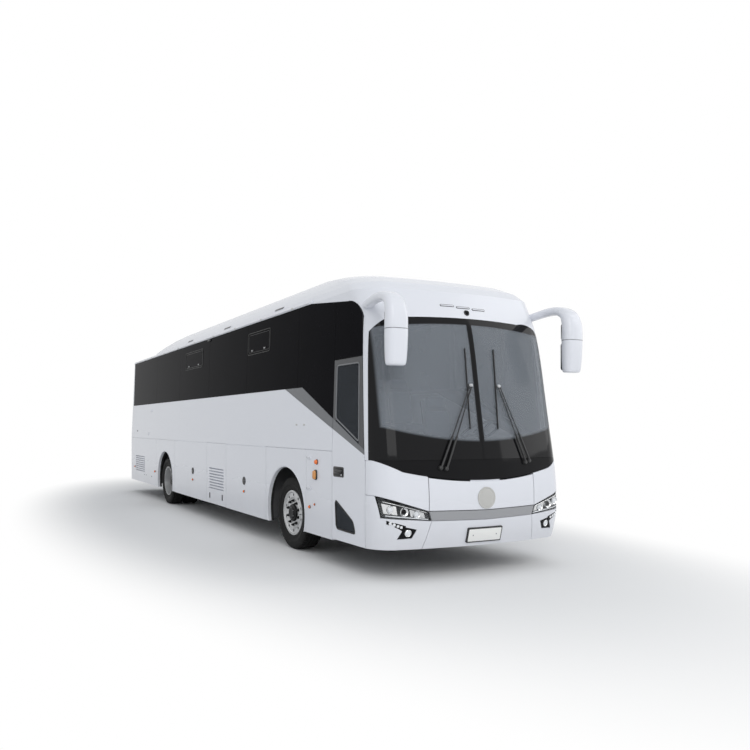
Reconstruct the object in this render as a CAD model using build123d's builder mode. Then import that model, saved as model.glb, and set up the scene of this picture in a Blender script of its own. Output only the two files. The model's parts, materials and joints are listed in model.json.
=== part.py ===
"""Electric coach: body panels, glass, running gear, doors and cabin, one STEP file for each sub-part."""

import os
from math import atan2, cos, pi, radians, sin, sqrt

from build123d import *

os.makedirs("parts", exist_ok=True)

# Overall sizes in millimetres. X points forward, Y to the left, Z up from the ground.
BODY_LENGTH = 11980.0
BODY_WIDTH = 2550.0
WHEELBASE = 6100.0
FRONT_OVERHANG = 2470.0
NOSE_DEPTH = 400.0  # front corner seam to the foremost skin
MIRROR_REACH = 140.0  # mirrors ahead of the foremost skin
TUMBLEHOME = 60.0  # half width lost between waist and roof

# Levels above the ground
SKIRT_Z = 310.0
BUMPER_Z = 330.0
TRAY_Z = 360.0
PLATFORM_Z = 915.0
FLOOR_Z = 1240.0
WAIST_Z = 1340.0
BELT_Z = 2120.0
DOOR_TOP_Z = 2390.0
CANT_Z = 3150.0
ROOF_Z = 3205.0

# Wall make-up and gaps
WALL = 45.0
SKIN = 15.0  # outer layer of a wall panel, which stops short of its seams
GLASS = 8.0
SCREEN_GLASS = 10.0
SEAM = 6.0
DOOR_GAP = 6.0  # around every door and flap
FIT = 0.3  # between pieces that seat on one another
SHEET = 30.0  # floors, bulkheads and housings

# Distances behind the front corner seam, along the right-hand side
DOOR_FRONT = 10.0
DOOR_BACK = 755.0
ARCH_PANEL_FRONT = 1440.0
ARCH_PANEL_BACK = 2728.0
FLAP_SPLIT = 4394.0
SERVICE_BACK = 5380.0
REAR_ARCH_FRONT = 7426.0
REAR_ARCH_BACK = 8906.0
CAP_BACK = 1400.0  # roof cap behind the corner seam
REAR_CORNER = 360.0  # depth of the tail shell

# Front form
BOW_RADIUS = 5600.0
SCREEN_BOTTOM_Z = 1270.0
SCREEN_TOP_Z = 2840.0
PILLAR_WIDTH = 65.0
PILLAR_LEAN = 130.0  # how far the front pillar leans back up to the top of the screen
DIVIDER = 24.0

# Tail form
TAIL_RADIUS = 250.0
TAIL_RAKE = 90.0

# Wheels and axles
TYRE_RADIUS = 479.0
TYRE_WIDTH = 276.0
RIM_RADIUS = 296.0
RIM_WIDTH = 236.0
HUB_BORE = 45.0
HAND_HOLES = 10
FRONT_TRACK = 2100.0
REAR_OUTER_TRACK = 2170.0
TWIN_PITCH = 320.0
KINGPIN_OFFSET = 170.0  # from the tyre's middle plane inboard
KINGPIN_RADIUS = 25.0
STEERING_ARM = 250.0
ARCH_RADIUS = 590.0
ARCH_Z = 500.0

# Flap hinges: a bead along the flap's top edge, in a groove of the panel above
HINGE_DEPTH = 8.0
HINGE_BEAD = 5.0
HINGE_DROP = 14.0

HALF = BODY_WIDTH / 2
X_NOSE = (BODY_LENGTH - MIRROR_REACH) / 2
X_CORNER = X_NOSE - NOSE_DEPTH
X_TAIL = X_NOSE - BODY_LENGTH
X_FRONT_AXLE = X_NOSE - FRONT_OVERHANG
X_REAR_AXLE = X_FRONT_AXLE - WHEELBASE
SIDE_END = X_CORNER - X_TAIL - REAR_CORNER
FRONT_AXLE_BACK = X_CORNER - X_FRONT_AXLE
REAR_AXLE_BACK = X_CORNER - X_REAR_AXLE


def half_width(z):
    """Half the body's width at a height: upright below the waist, leaning in above it."""
    above = max(z - WAIST_Z, 0.0)
    return HALF - TUMBLEHOME * above / (CANT_Z - WAIST_Z)


def keep(part, name):
    """Label a finished sub-part and write it."""
    part.label = name
    export_step(part, f"parts/{name}.step")


# Body form

# height, nose setback, shoulder inset, corner radius, distance of the pod's end behind the seam
NOSE_ROWS = (
    (BUMPER_Z, 65.0, 0.0, 300.0, 2000.0),
    (1080.0, 0.0, 0.0, 300.0, 2000.0),
    (2120.0, 163.0, 0.0, 300.0, 2000.0),
    (2850.0, 312.0, 0.0, 300.0, 2000.0),
    (CANT_Z, 440.0, 3.0, 330.0, 2000.0),
)
ROOF_ROWS = (
    (2850.0, 312.0, 0.0, 300.0, 9500.0),
    (CANT_Z, 440.0, 3.0, 330.0, 9500.0),
    (3240.0, 540.0, 47.0, 360.0, 9350.0),
    (3330.0, 740.0, 115.0, 400.0, 8900.0),
    (3410.0, 1060.0, 195.0, 440.0, 8350.0),
    (3465.0, 1430.0, 270.0, 480.0, 7750.0),
    (3490.0, 1780.0, 350.0, 520.0, 7200.0),
)
POD_TAIL_RADIUS = 120.0


def form_outline(row, inset):
    """Plan outline of the body at one height: bowed nose, round corners and straight sides."""
    z, setback, shoulder, radius, tail = row
    width = half_width(min(z, CANT_Z)) - shoulder - inset
    nose = X_NOSE - setback - inset
    bow = BOW_RADIUS - inset
    corner = radius - inset
    bow_x = nose - bow
    reach = sqrt((bow - corner) ** 2 - (width - corner) ** 2)
    corner_x = bow_x + reach
    corner_y = width - corner
    touch = bow / (bow - corner)
    touch_x = bow_x + reach * touch
    touch_y = corner_y * touch
    middle = (atan2(corner_y, reach) + pi / 2) / 2
    middle_x = corner_x + corner * cos(middle)
    middle_y = corner_y + corner * sin(middle)
    tail_x = X_CORNER - tail
    tail_corner = tail_x + POD_TAIL_RADIUS
    tail_y = width - POD_TAIL_RADIUS
    with BuildSketch(Plane.XY.offset(z)) as outline:
        with BuildLine():
            Line((tail_corner, width), (corner_x, width))
            ThreePointArc((corner_x, width), (middle_x, middle_y), (touch_x, touch_y))
            ThreePointArc((touch_x, touch_y), (nose, 0), (touch_x, -touch_y))
            ThreePointArc((touch_x, -touch_y), (middle_x, -middle_y), (corner_x, -width))
            Line((corner_x, -width), (tail_corner, -width))
            RadiusArc((tail_corner, -width), (tail_x, -tail_y), POD_TAIL_RADIUS)
            Line((tail_x, -tail_y), (tail_x, tail_y))
            RadiusArc((tail_x, tail_y), (tail_corner, width), POD_TAIL_RADIUS)
        make_face()
    return outline.sketch


FOOT_DROP = 0.2  # how much lower an inset nose starts, for each unit of inset


def nose_form(inset):
    """The nose as a solid, set in from the skin and started a little lower the deeper it lies."""
    first, *others = NOSE_ROWS
    lowered = (first[0] - abs(inset) * FOOT_DROP, *first[1:])
    with BuildPart() as nose:
        loft([form_outline(row, inset) for row in (lowered, *others)])
    return nose.part


def between(outer, inner):
    """What lies inside one solid and outside another."""
    with BuildPart() as layer:
        add(outer)
        add(inner, mode=Mode.SUBTRACT)
    return layer.part


nose_solid = nose_form(0.0)
nose_glass_back = nose_form(SCREEN_GLASS)
nose_skin_back = nose_form(SKIN)
nose_cavity = nose_form(WALL)
nose_skin = between(nose_solid, nose_skin_back)
nose_backing = between(nose_skin_back, nose_cavity)
nose_glass = between(nose_solid, nose_glass_back)

with BuildPart() as roof_form:
    loft([form_outline(row, 0.0) for row in ROOF_ROWS], ruled=True)


def side_layer(near, far):
    """The right-hand wall between two depths under its skin, over the body's whole length."""
    levels = (SKIRT_Z, WAIST_Z, CANT_Z)
    outer = [(near - half_width(z), z) for z in levels]
    inner = [(far - half_width(z), z) for z in reversed(levels)]
    with BuildPart() as layer:
        with BuildSketch(Plane.YZ.offset(X_TAIL)):
            with BuildLine():
                Polyline(*outer, *inner, close=True)
            make_face()
        extrude(amount=X_CORNER - X_TAIL)
    return layer.part


side_skin = side_layer(0, SKIN)
side_backing = side_layer(SKIN, WALL)
side_glazing = side_layer(0, GLASS)
side_framing = side_layer(GLASS, WALL)


def side_outline(*points):
    """A face in side view, from distances behind the corner seam and heights."""
    with BuildSketch() as outline:
        with BuildLine():
            Polyline(*[(X_CORNER - back, z) for back, z in points], close=True)
        make_face()
    return outline.sketch


def side_box(front, back, low, high):
    """A rectangular side outline."""
    return side_outline((front, low), (back, low), (back, high), (front, high))


def side_cut(layer, outline, grow=0.0):
    """The piece of a right-hand wall layer inside a side outline."""
    with BuildPart() as piece:
        add(layer)
        with BuildSketch(Plane.XZ):
            add(outline)
            if grow:
                offset(amount=grow, kind=Kind.INTERSECTION)
        extrude(amount=BODY_WIDTH, mode=Mode.INTERSECT)
    return piece.part


def side_panel(outline, gap=0.0):
    """A right-hand wall panel: its skin stops half a seam short, its backing fills the outline less a gap."""
    skin = side_cut(side_skin, outline, -gap if gap else -SEAM / 2)
    backing = side_cut(side_backing, outline, -gap)
    with BuildPart() as panel:
        add(skin)
        add(backing)
    return panel.part


def nose_cut(layer, outline, grow=0.0, behind=0.0):
    """The piece of a nose layer inside a front outline, ahead of a distance behind the corner seam."""
    with BuildPart() as piece:
        add(layer)
        with BuildSketch(Plane.YZ.offset(X_CORNER - behind)):
            add(outline)
            if grow:
                offset(amount=grow, kind=Kind.INTERSECTION)
        extrude(amount=NOSE_DEPTH * 2, mode=Mode.INTERSECT)
    return piece.part


def nose_panel(outline, gap=0.0):
    """A nose panel with a skin and a backing, as for the side panels."""
    skin = nose_cut(nose_skin, outline, -gap if gap else -SEAM / 2)
    backing = nose_cut(nose_backing, outline, -gap)
    with BuildPart() as panel:
        add(skin)
        add(backing)
    return panel.part


def front_outline(*points):
    """A face in front view, from distances left of the middle and heights."""
    with BuildSketch() as outline:
        with BuildLine():
            Polyline(*points, close=True)
        make_face()
    return outline.sketch


def both_sides(part):
    """A right-hand part and its mirror image."""
    with BuildPart() as pair:
        add(part)
        mirror(about=Plane.XZ)
    return pair.part


# Side lines: the silver stripe's two edges, the front pillar and the brow over the glass
STRIPE_LOW = ((90.0, 1346.0), (2130.0, BELT_Z))
STRIPE_HIGH = ((30.0, 1376.0), (1605.0, BELT_Z))
BROW_BEND = (480.0, 3040.0)
BROW_MIDDLE = (255.0, 2960.0)
BROW_FOOT_Z = 2830.0


def on_line(line, back):
    """Height of a sloping side line at a distance behind the corner seam."""
    (back_a, z_a), (back_b, z_b) = line
    return z_a + (z_b - z_a) * (back - back_a) / (back_b - back_a)


PILLAR_FOOT = 30.0  # rear edge of the pillar at the waist, behind the corner seam


def pillar_back(z):
    """Rear edge of the front pillar, behind the corner seam."""
    return PILLAR_FOOT + PILLAR_LEAN * (z - WAIST_Z) / (BROW_FOOT_Z - WAIST_Z)


with BuildSketch() as brow_region:
    with BuildLine():
        Line((X_CORNER - CAP_BACK, CANT_Z), (X_CORNER - BROW_BEND[0], BROW_BEND[1]))
        ThreePointArc(
            (X_CORNER - BROW_BEND[0], BROW_BEND[1]),
            (X_CORNER - BROW_MIDDLE[0], BROW_MIDDLE[1]),
            (X_CORNER - pillar_back(BROW_FOOT_Z), BROW_FOOT_Z),
        )
        Line((X_CORNER - pillar_back(BROW_FOOT_Z), BROW_FOOT_Z), (X_CORNER - pillar_back(0), 0))
        Line((X_CORNER - pillar_back(0), 0), (X_CORNER + NOSE_DEPTH * 2, 0))
        Line((X_CORNER + NOSE_DEPTH * 2, 0), (X_CORNER + NOSE_DEPTH * 2, CANT_Z))
        Line((X_CORNER + NOSE_DEPTH * 2, CANT_Z), (X_CORNER - CAP_BACK, CANT_Z))
    make_face()


# Side wall panels

DOOR_SEAM = DOOR_BACK + DOOR_GAP / 2
LEFT_START = pillar_back(WAIST_Z)
STRIPE_TIP = (pillar_back(STRIPE_HIGH[0][1]), STRIPE_HIGH[0][1])
LOUVRE_SLATS = 8
LOUVRE_PITCH = 48.0
LOUVRE_SLOT = 24.0
LOUVRE_LOW_Z = 575.0
LOUVRE_DEPTH = 28.0
LOUVRE_DROP = 18.0  # how far each slot slopes down towards the outside

# side outlines of the fixed panels that both sides share: front, back, low, high
ARCH_PANELS = (
    (ARCH_PANEL_FRONT, ARCH_PANEL_BACK, FRONT_AXLE_BACK),
    (REAR_ARCH_FRONT, REAR_ARCH_BACK, REAR_AXLE_BACK),
)
# panel front, panel back, louvre front, louvre back
SERVICE_PANELS = (
    (FLAP_SPLIT, SERVICE_BACK, FLAP_SPLIT + 120, SERVICE_BACK - 130),
    (REAR_ARCH_BACK, SIDE_END, 9950.0, 10880.0),
)

hinge_y = HINGE_DEPTH - HALF
with BuildPart() as hinge_groove:
    with BuildSketch(Plane.YZ.offset(X_TAIL)):
        with Locations((hinge_y, WAIST_Z)):
            Circle(HINGE_BEAD + FIT)
    extrude(amount=X_CORNER - X_TAIL)

right_waist = side_panel(
    side_outline(
        (DOOR_SEAM, WAIST_Z),
        (DOOR_SEAM, on_line(STRIPE_LOW, DOOR_SEAM)),
        STRIPE_LOW[1],
        (SIDE_END, BELT_Z),
        (SIDE_END, WAIST_Z),
    )
)
left_waist = side_panel(
    side_outline((LEFT_START, WAIST_Z), STRIPE_LOW[0], STRIPE_LOW[1], (SIDE_END, BELT_Z), (SIDE_END, WAIST_Z))
)
with BuildPart() as waist_panels:
    add(left_waist)
    mirror(about=Plane.XZ, mode=Mode.REPLACE)
    add(right_waist)
    add(both_sides(hinge_groove.part), mode=Mode.SUBTRACT)
keep(waist_panels.part, "waist_panels")

right_stripe = side_panel(
    side_outline(
        (DOOR_SEAM, on_line(STRIPE_LOW, DOOR_SEAM)),
        STRIPE_LOW[1],
        STRIPE_HIGH[1],
        (DOOR_SEAM, on_line(STRIPE_HIGH, DOOR_SEAM)),
    )
)
left_stripe = side_panel(
    side_outline((LEFT_START, WAIST_Z), STRIPE_LOW[0], STRIPE_LOW[1], STRIPE_HIGH[1], STRIPE_TIP)
)
with BuildPart() as side_stripes:
    add(left_stripe)
    mirror(about=Plane.XZ, mode=Mode.REPLACE)
    add(right_stripe)
keep(side_stripes.part, "side_stripes")

right_entry = side_panel(side_box(DOOR_SEAM, ARCH_PANEL_FRONT, SKIRT_Z, WAIST_Z))
left_entry = side_panel(
    side_outline(
        (DOOR_FRONT, SKIRT_Z),
        (DOOR_FRONT, SCREEN_BOTTOM_Z),
        (pillar_back(SCREEN_BOTTOM_Z), SCREEN_BOTTOM_Z),
        (pillar_back(WAIST_Z), WAIST_Z),
        (ARCH_PANEL_FRONT, WAIST_Z),
        (ARCH_PANEL_FRONT, SKIRT_Z),
    )
)
with BuildPart() as entry_panels:
    add(left_entry)
    mirror(about=Plane.XZ, mode=Mode.REPLACE)
    add(right_entry)
keep(entry_panels.part, "entry_panels")

arch_pieces = [side_panel(side_box(front, back, SKIRT_Z, WAIST_Z)) for front, back, axle in ARCH_PANELS]
with BuildPart() as arch_panels:
    for piece in arch_pieces:
        add(piece)
    with BuildSketch(Plane.XZ):
        for front, back, axle in ARCH_PANELS:
            with Locations((X_CORNER - axle, ARCH_Z)):
                Circle(ARCH_RADIUS)
    extrude(amount=BODY_WIDTH, mode=Mode.SUBTRACT)
    mirror(about=Plane.XZ)
keep(arch_panels.part, "arch_panels")

service_pieces = [side_panel(side_box(front, back, SKIRT_Z, WAIST_Z)) for front, back, _, _ in SERVICE_PANELS]
louvre_levels = [LOUVRE_LOW_Z + LOUVRE_PITCH * slat for slat in range(LOUVRE_SLATS)]
with BuildPart() as service_panels:
    for piece in service_pieces:
        add(piece)
    for _, _, front, back in SERVICE_PANELS:
        with BuildSketch(Plane.YZ.offset(X_CORNER - back)):
            for level in louvre_levels:
                with BuildLine():
                    Polyline(
                        (-HALF - 1, level - LOUVRE_DROP),
                        (-HALF + LOUVRE_DEPTH, level),
                        (-HALF + LOUVRE_DEPTH, level + LOUVRE_SLOT),
                        (-HALF - 1, level + LOUVRE_SLOT - LOUVRE_DROP),
                        close=True,
                    )
                make_face()
        extrude(amount=back - front, mode=Mode.SUBTRACT)
    mirror(about=Plane.XZ)
keep(service_panels.part, "service_panels")


# Luggage flaps, hinged along their top edges

# name, front, back
FLAPS = (("front", ARCH_PANEL_BACK, FLAP_SPLIT), ("rear", SERVICE_BACK, REAR_ARCH_FRONT))
for place, front, back in FLAPS:
    panel = side_panel(side_box(front, back, SKIRT_Z - DOOR_GAP, WAIST_Z - HINGE_DROP + DOOR_GAP), gap=DOOR_GAP)
    with BuildPart() as right_flap:
        add(panel)
        with BuildSketch(Plane.YZ.offset(X_CORNER - back + DOOR_GAP)):
            with Locations((hinge_y, WAIST_Z)):
                Circle(HINGE_BEAD)
            with Locations((hinge_y, WAIST_Z - HINGE_DROP / 2)):
                Rectangle(HINGE_BEAD, HINGE_DROP)
        extrude(amount=back - front - 2 * DOOR_GAP)
    with BuildPart() as left_flap:
        add(right_flap.part)
        mirror(about=Plane.XZ, mode=Mode.REPLACE)
    keep(right_flap.part, f"luggage_flap_{place}_right")
    keep(left_flap.part, f"luggage_flap_{place}_left")


# Window band: frames behind, panes in front

PANE_EDGES = (1750.0, 3560.0, 5370.0, 7180.0, 8990.0, SIDE_END)
PANE_GAP = 4.0
FRAME_BORDER = 50.0
header_z = DOOR_TOP_Z + DOOR_GAP


def under_brow(outline, grow=0.0):
    """A side outline kept behind the front pillar and under the brow, and grown by an amount."""
    with BuildSketch() as glazed:
        add(outline)
        add(brow_region.sketch, mode=Mode.SUBTRACT)
        if grow:
            offset(amount=grow, kind=Kind.INTERSECTION)
    return glazed.sketch


quarter_pane = side_outline(
    (DOOR_SEAM, on_line(STRIPE_HIGH, DOOR_SEAM)),
    STRIPE_HIGH[1],
    (PANE_EDGES[0], BELT_Z),
    (PANE_EDGES[0], CANT_Z),
    (DOOR_SEAM, CANT_Z),
)
door_header_pane = side_box(0.0, DOOR_SEAM, header_z, CANT_Z)
driver_pane = side_outline(
    STRIPE_TIP,
    (DOOR_SEAM, on_line(STRIPE_HIGH, DOOR_SEAM)),
    (DOOR_SEAM, CANT_Z),
    (STRIPE_TIP[0], CANT_Z),
)
main_panes = [side_box(front, back, BELT_Z, CANT_Z) for front, back in zip(PANE_EDGES, PANE_EDGES[1:])]


def glazed_side(panes):
    """Frame and panes of one side, from the outlines of its panes."""
    frames = [side_cut(side_framing, under_brow(pane)) for pane in panes]
    holes = [under_brow(pane, -FRAME_BORDER) for pane in panes]
    glass = [side_cut(side_glazing, under_brow(pane, -PANE_GAP / 2)) for pane in panes]
    with BuildPart() as frame:
        for piece in frames:
            add(piece)
        with BuildSketch(Plane.XZ):
            for hole in holes:
                add(hole)
        extrude(amount=BODY_WIDTH, mode=Mode.SUBTRACT)
    with BuildPart() as glazing:
        for piece in glass:
            add(piece)
    return frame.part, glazing.part


right_frame, right_glass = glazed_side([door_header_pane, quarter_pane, *main_panes])
left_frame, left_glass = glazed_side([driver_pane, quarter_pane, *main_panes])
for name, left_piece, right_piece in (
    ("window_frames", left_frame, right_frame),
    ("side_glass", left_glass, right_glass),
):
    with BuildPart() as pair:
        add(left_piece)
        mirror(about=Plane.XZ, mode=Mode.REPLACE)
        add(right_piece)
    keep(pair.part, name)


# Passenger door, which swings out and forward on two arms of a turning post

DOOR_PIN_BACK = 590.0
POST_BACK = 140.0
DOOR_PIN_Y = -1190.0
PIN_RADIUS = 10.0
EYE_RADIUS = 22.0
ARM_THICK = 24.0
ARM_LEVELS = (410.0, 1240.0)
POST_RADIUS = 18.0
POST_TOP_Z = 1700.0
BRACKET = 8.0
LINK_WIDTH = EYE_RADIUS * 1.4
DOOR_BORDER = 65.0
DOOR_GLASS_DEPTH = 4.0
WINDOW_FRONT = 150.0  # foot of the door's window behind the corner seam
KERB_WINDOW = ((674.0, 787.0), (265.0, 580.0), (218.0, 450.0), (648.0, 460.0))

door_outline = side_outline(
    (DOOR_FRONT, BUMPER_Z),
    (DOOR_FRONT, SCREEN_BOTTOM_Z - DOOR_FRONT),
    (pillar_back(SCREEN_BOTTOM_Z) + DOOR_GAP, SCREEN_BOTTOM_Z),
    (pillar_back(DOOR_TOP_Z) + DOOR_GAP, DOOR_TOP_Z),
    (DOOR_BACK - DOOR_GAP / 2, DOOR_TOP_Z),
    (DOOR_BACK - DOOR_GAP / 2, BUMPER_Z),
)
door_window = side_outline(
    (WINDOW_FRONT, on_line(STRIPE_HIGH, WINDOW_FRONT)),
    (DOOR_BACK - DOOR_BORDER, on_line(STRIPE_HIGH, DOOR_BACK - DOOR_BORDER)),
    (DOOR_BACK - DOOR_BORDER, DOOR_TOP_Z - DOOR_BORDER),
    (pillar_back(DOOR_TOP_Z) + DOOR_BORDER, DOOR_TOP_Z - DOOR_BORDER),
)
kerb_window = side_outline(*KERB_WINDOW)
door_leaf = side_cut(side_layer(0, WALL), door_outline)
pane_layer = side_layer(DOOR_GLASS_DEPTH, DOOR_GLASS_DEPTH + GLASS)
pin_x = X_CORNER - DOOR_PIN_BACK
post_x = X_CORNER - POST_BACK

with BuildPart() as passenger_door:
    add(door_leaf)
    with BuildSketch(Plane.XZ):
        add(door_window)
        add(kerb_window)
    extrude(amount=BODY_WIDTH, mode=Mode.SUBTRACT)
    for level in ARM_LEVELS:
        low = level - ARM_THICK / 2 - FIT - BRACKET
        with BuildSketch(Plane.XY.offset(low)):
            with Locations((pin_x, DOOR_PIN_Y)):
                Circle(EYE_RADIUS)
            with Locations((pin_x, (DOOR_PIN_Y + WALL - HALF) / 2)):
                Rectangle(2 * EYE_RADIUS, HALF - WALL + DOOR_PIN_Y)
        extrude(amount=BRACKET)
        with BuildSketch(Plane.XY.offset(low + BRACKET)):
            with Locations((pin_x, DOOR_PIN_Y)):
                Circle(PIN_RADIUS)
        extrude(amount=ARM_THICK + FIT)
keep(passenger_door.part, "passenger_door")

upper_pane = side_cut(pane_layer, door_window)
lower_pane = side_cut(pane_layer, kerb_window)
with BuildPart() as door_glass:
    add(upper_pane)
    add(lower_pane)
keep(door_glass.part, "door_glass")

with BuildPart() as door_arm:
    with BuildSketch(Plane.XY.offset(TRAY_Z + FIT)):
        with Locations((post_x, DOOR_PIN_Y)):
            Circle(POST_RADIUS)
    extrude(amount=POST_TOP_Z - TRAY_Z)
    for level in ARM_LEVELS:
        with BuildSketch(Plane.XY.offset(level - ARM_THICK / 2)):
            with Locations(((post_x + pin_x) / 2, DOOR_PIN_Y)):
                Rectangle(post_x - pin_x, LINK_WIDTH)
            with Locations((pin_x, DOOR_PIN_Y)):
                Circle(EYE_RADIUS)
                Circle(PIN_RADIUS + FIT, mode=Mode.SUBTRACT)
        extrude(amount=ARM_THICK)
keep(door_arm.part, "door_arm")


# Nose panels, windscreen and lamps, as outlines in front view

FLAP_HALF = 720.0
CURVE_HALF = 1000.0
CURVE_RISE = 105.0
FLAP_TOP_Z = 1045.0
CURVE_RADIUS = (CURVE_HALF**2 + CURVE_RISE**2) / (2 * CURVE_RISE)
CURVE_END = (1249.0, SCREEN_BOTTOM_Z)
LAMP_TOP_OUT = (1250.0, 900.0)
LAMP_TOP_IN = (FLAP_HALF, 735.0)
LAMP_LOW_IN = (685.0, 632.0)
LAMP_LOW_OUT = (1215.0, 672.0)
STRIP_DIP = 14.0
BUMPER_HALF = 760.0
CORNER_SIDE = HALF + 20.0
SCREEN_BEND = (760.0, 2822.0)
SCREEN_CORNER = (1120.0, 2730.0)
SCREEN_EDGE = (1245.0, 2520.0)


def curve_z(y, drop=0.0):
    """Height of the bowed line under the black wiper panel."""
    return FLAP_TOP_Z + CURVE_RADIUS - sqrt(CURVE_RADIUS**2 - y**2) - drop


def mirrored(points):
    """Front points and their mirror images, running on round the outline."""
    return [*points, *[(-y, z) for y, z in reversed(points)]]


with BuildSketch() as screen_outline:
    with BuildLine():
        Line((-CORNER_SIDE, SCREEN_BOTTOM_Z), (CORNER_SIDE, SCREEN_BOTTOM_Z))
        Line((CORNER_SIDE, SCREEN_BOTTOM_Z), (CORNER_SIDE, SCREEN_EDGE[1]))
        Line((CORNER_SIDE, SCREEN_EDGE[1]), SCREEN_EDGE)
        ThreePointArc(SCREEN_EDGE, SCREEN_CORNER, SCREEN_BEND)
        ThreePointArc(SCREEN_BEND, (0, SCREEN_TOP_Z), (-SCREEN_BEND[0], SCREEN_BEND[1]))
        ThreePointArc(
            (-SCREEN_BEND[0], SCREEN_BEND[1]),
            (-SCREEN_CORNER[0], SCREEN_CORNER[1]),
            (-SCREEN_EDGE[0], SCREEN_EDGE[1]),
        )
        Line((-SCREEN_EDGE[0], SCREEN_EDGE[1]), (-CORNER_SIDE, SCREEN_EDGE[1]))
        Line((-CORNER_SIDE, SCREEN_EDGE[1]), (-CORNER_SIDE, SCREEN_BOTTOM_Z))
    make_face()

SCREEN_LAP = 50.0  # outline carried ahead of the foremost skin
screen_side = side_outline(
    (pillar_back(SCREEN_BOTTOM_Z) - PILLAR_WIDTH, SCREEN_BOTTOM_Z),
    (-NOSE_DEPTH - SCREEN_LAP, SCREEN_BOTTOM_Z),
    (-NOSE_DEPTH - SCREEN_LAP, CANT_Z),
    (pillar_back(CANT_Z) - PILLAR_WIDTH, CANT_Z),
)
with BuildPart() as screen_region:
    with BuildSketch(Plane.YZ.offset(X_CORNER - PILLAR_LEAN * 2)):
        add(screen_outline.sketch)
    extrude(amount=NOSE_DEPTH * 2)
    with BuildSketch(Plane.XZ):
        add(screen_side)
    extrude(amount=BODY_WIDTH, both=True, mode=Mode.INTERSECT)

with BuildPart() as windscreen:
    add(nose_glass)
    add(screen_region.part, mode=Mode.INTERSECT)
    with BuildSketch(Plane.YZ.offset(X_CORNER)):
        with Locations((0, SCREEN_TOP_Z / 2)):
            Rectangle(DIVIDER, SCREEN_TOP_Z * 2)
    extrude(amount=NOSE_DEPTH * 2, mode=Mode.SUBTRACT)
keep(windscreen.part, "windscreen")

with BuildSketch() as divider_outline:
    add(screen_outline.sketch)
    with Locations((0, SCREEN_TOP_Z / 2)):
        Rectangle(DIVIDER, SCREEN_TOP_Z * 2, mode=Mode.INTERSECT)
divider_front = nose_cut(nose_skin, divider_outline.sketch)
divider_back = nose_cut(nose_backing, divider_outline.sketch)
with BuildPart() as screen_divider:
    add(divider_front)
    add(divider_back)
keep(screen_divider.part, "screen_divider")

with BuildSketch() as wiper_outline:
    with BuildLine():
        Line((-CURVE_END[0], CURVE_END[1]), CURVE_END)
        Line(CURVE_END, (CURVE_HALF, curve_z(CURVE_HALF)))
        ThreePointArc((CURVE_HALF, curve_z(CURVE_HALF)), (0, FLAP_TOP_Z), (-CURVE_HALF, curve_z(CURVE_HALF)))
        Line((-CURVE_HALF, curve_z(CURVE_HALF)), (-CURVE_END[0], CURVE_END[1]))
    make_face()
flap_hinge_x = X_NOSE - HINGE_DEPTH
FLAP_HINGE_HALF = 200.0
wiper_cover = nose_panel(wiper_outline.sketch)
with BuildPart() as wiper_panel:
    add(wiper_cover)
    with BuildSketch(Plane.XZ.offset(-FLAP_HINGE_HALF - DOOR_GAP)):
        with Locations((flap_hinge_x, FLAP_TOP_Z)):
            Circle(HINGE_BEAD + FIT)
    extrude(amount=2 * (FLAP_HINGE_HALF + DOOR_GAP), mode=Mode.SUBTRACT)
keep(wiper_panel.part, "wiper_panel")

flap_drop = HINGE_DROP - DOOR_GAP
with BuildSketch() as flap_outline:
    with BuildLine():
        Polyline(LAMP_TOP_IN, (0, LAMP_TOP_IN[1] - STRIP_DIP), (-FLAP_HALF, LAMP_TOP_IN[1]))
        Line((-FLAP_HALF, LAMP_TOP_IN[1]), (-FLAP_HALF, curve_z(FLAP_HALF, flap_drop)))
        ThreePointArc(
            (-FLAP_HALF, curve_z(FLAP_HALF, flap_drop)),
            (0, FLAP_TOP_Z - flap_drop),
            (FLAP_HALF, curve_z(FLAP_HALF, flap_drop)),
        )
        Line((FLAP_HALF, curve_z(FLAP_HALF, flap_drop)), LAMP_TOP_IN)
    make_face()
flap_panel = nose_panel(flap_outline.sketch, gap=DOOR_GAP)
with BuildPart() as front_flap:
    add(flap_panel)
    with BuildSketch(Plane.XZ.offset(-FLAP_HINGE_HALF)):
        with Locations((flap_hinge_x, FLAP_TOP_Z)):
            Circle(HINGE_BEAD)
        with Locations((flap_hinge_x, FLAP_TOP_Z - HINGE_DROP / 2 - 2)):
            Rectangle(HINGE_BEAD, HINGE_DROP + 4)
    extrude(amount=2 * FLAP_HINGE_HALF)
keep(front_flap.part, "front_flap")

with BuildSketch() as corner_outline:
    with BuildLine():
        ThreePointArc(
            (FLAP_HALF, curve_z(FLAP_HALF)),
            ((FLAP_HALF + CURVE_HALF) / 2, curve_z((FLAP_HALF + CURVE_HALF) / 2)),
            (CURVE_HALF, curve_z(CURVE_HALF)),
        )
        Polyline(
            (CURVE_HALF, curve_z(CURVE_HALF)),
            CURVE_END,
            (CORNER_SIDE, CURVE_END[1]),
            (CORNER_SIDE, LAMP_TOP_OUT[1]),
            LAMP_TOP_OUT,
            LAMP_TOP_IN,
            (FLAP_HALF, curve_z(FLAP_HALF)),
        )
    make_face()
keep(both_sides(nose_panel(corner_outline.sketch)), "front_corners")

MIDDLE = 0.1  # outlines reach this close to the coach's middle before they are mirrored
strip_low = (MIDDLE, LAMP_LOW_IN[1] - STRIP_DIP)
strip_high = (MIDDLE, LAMP_TOP_IN[1] - STRIP_DIP)
strip_outline = front_outline(*mirrored([strip_low, LAMP_LOW_IN, LAMP_TOP_IN, strip_high]))
keep(nose_panel(strip_outline), "front_strip")

lamp_outline = front_outline(LAMP_TOP_OUT, LAMP_TOP_IN, LAMP_LOW_IN, LAMP_LOW_OUT)
keep(both_sides(nose_panel(lamp_outline)), "headlamps")

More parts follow.
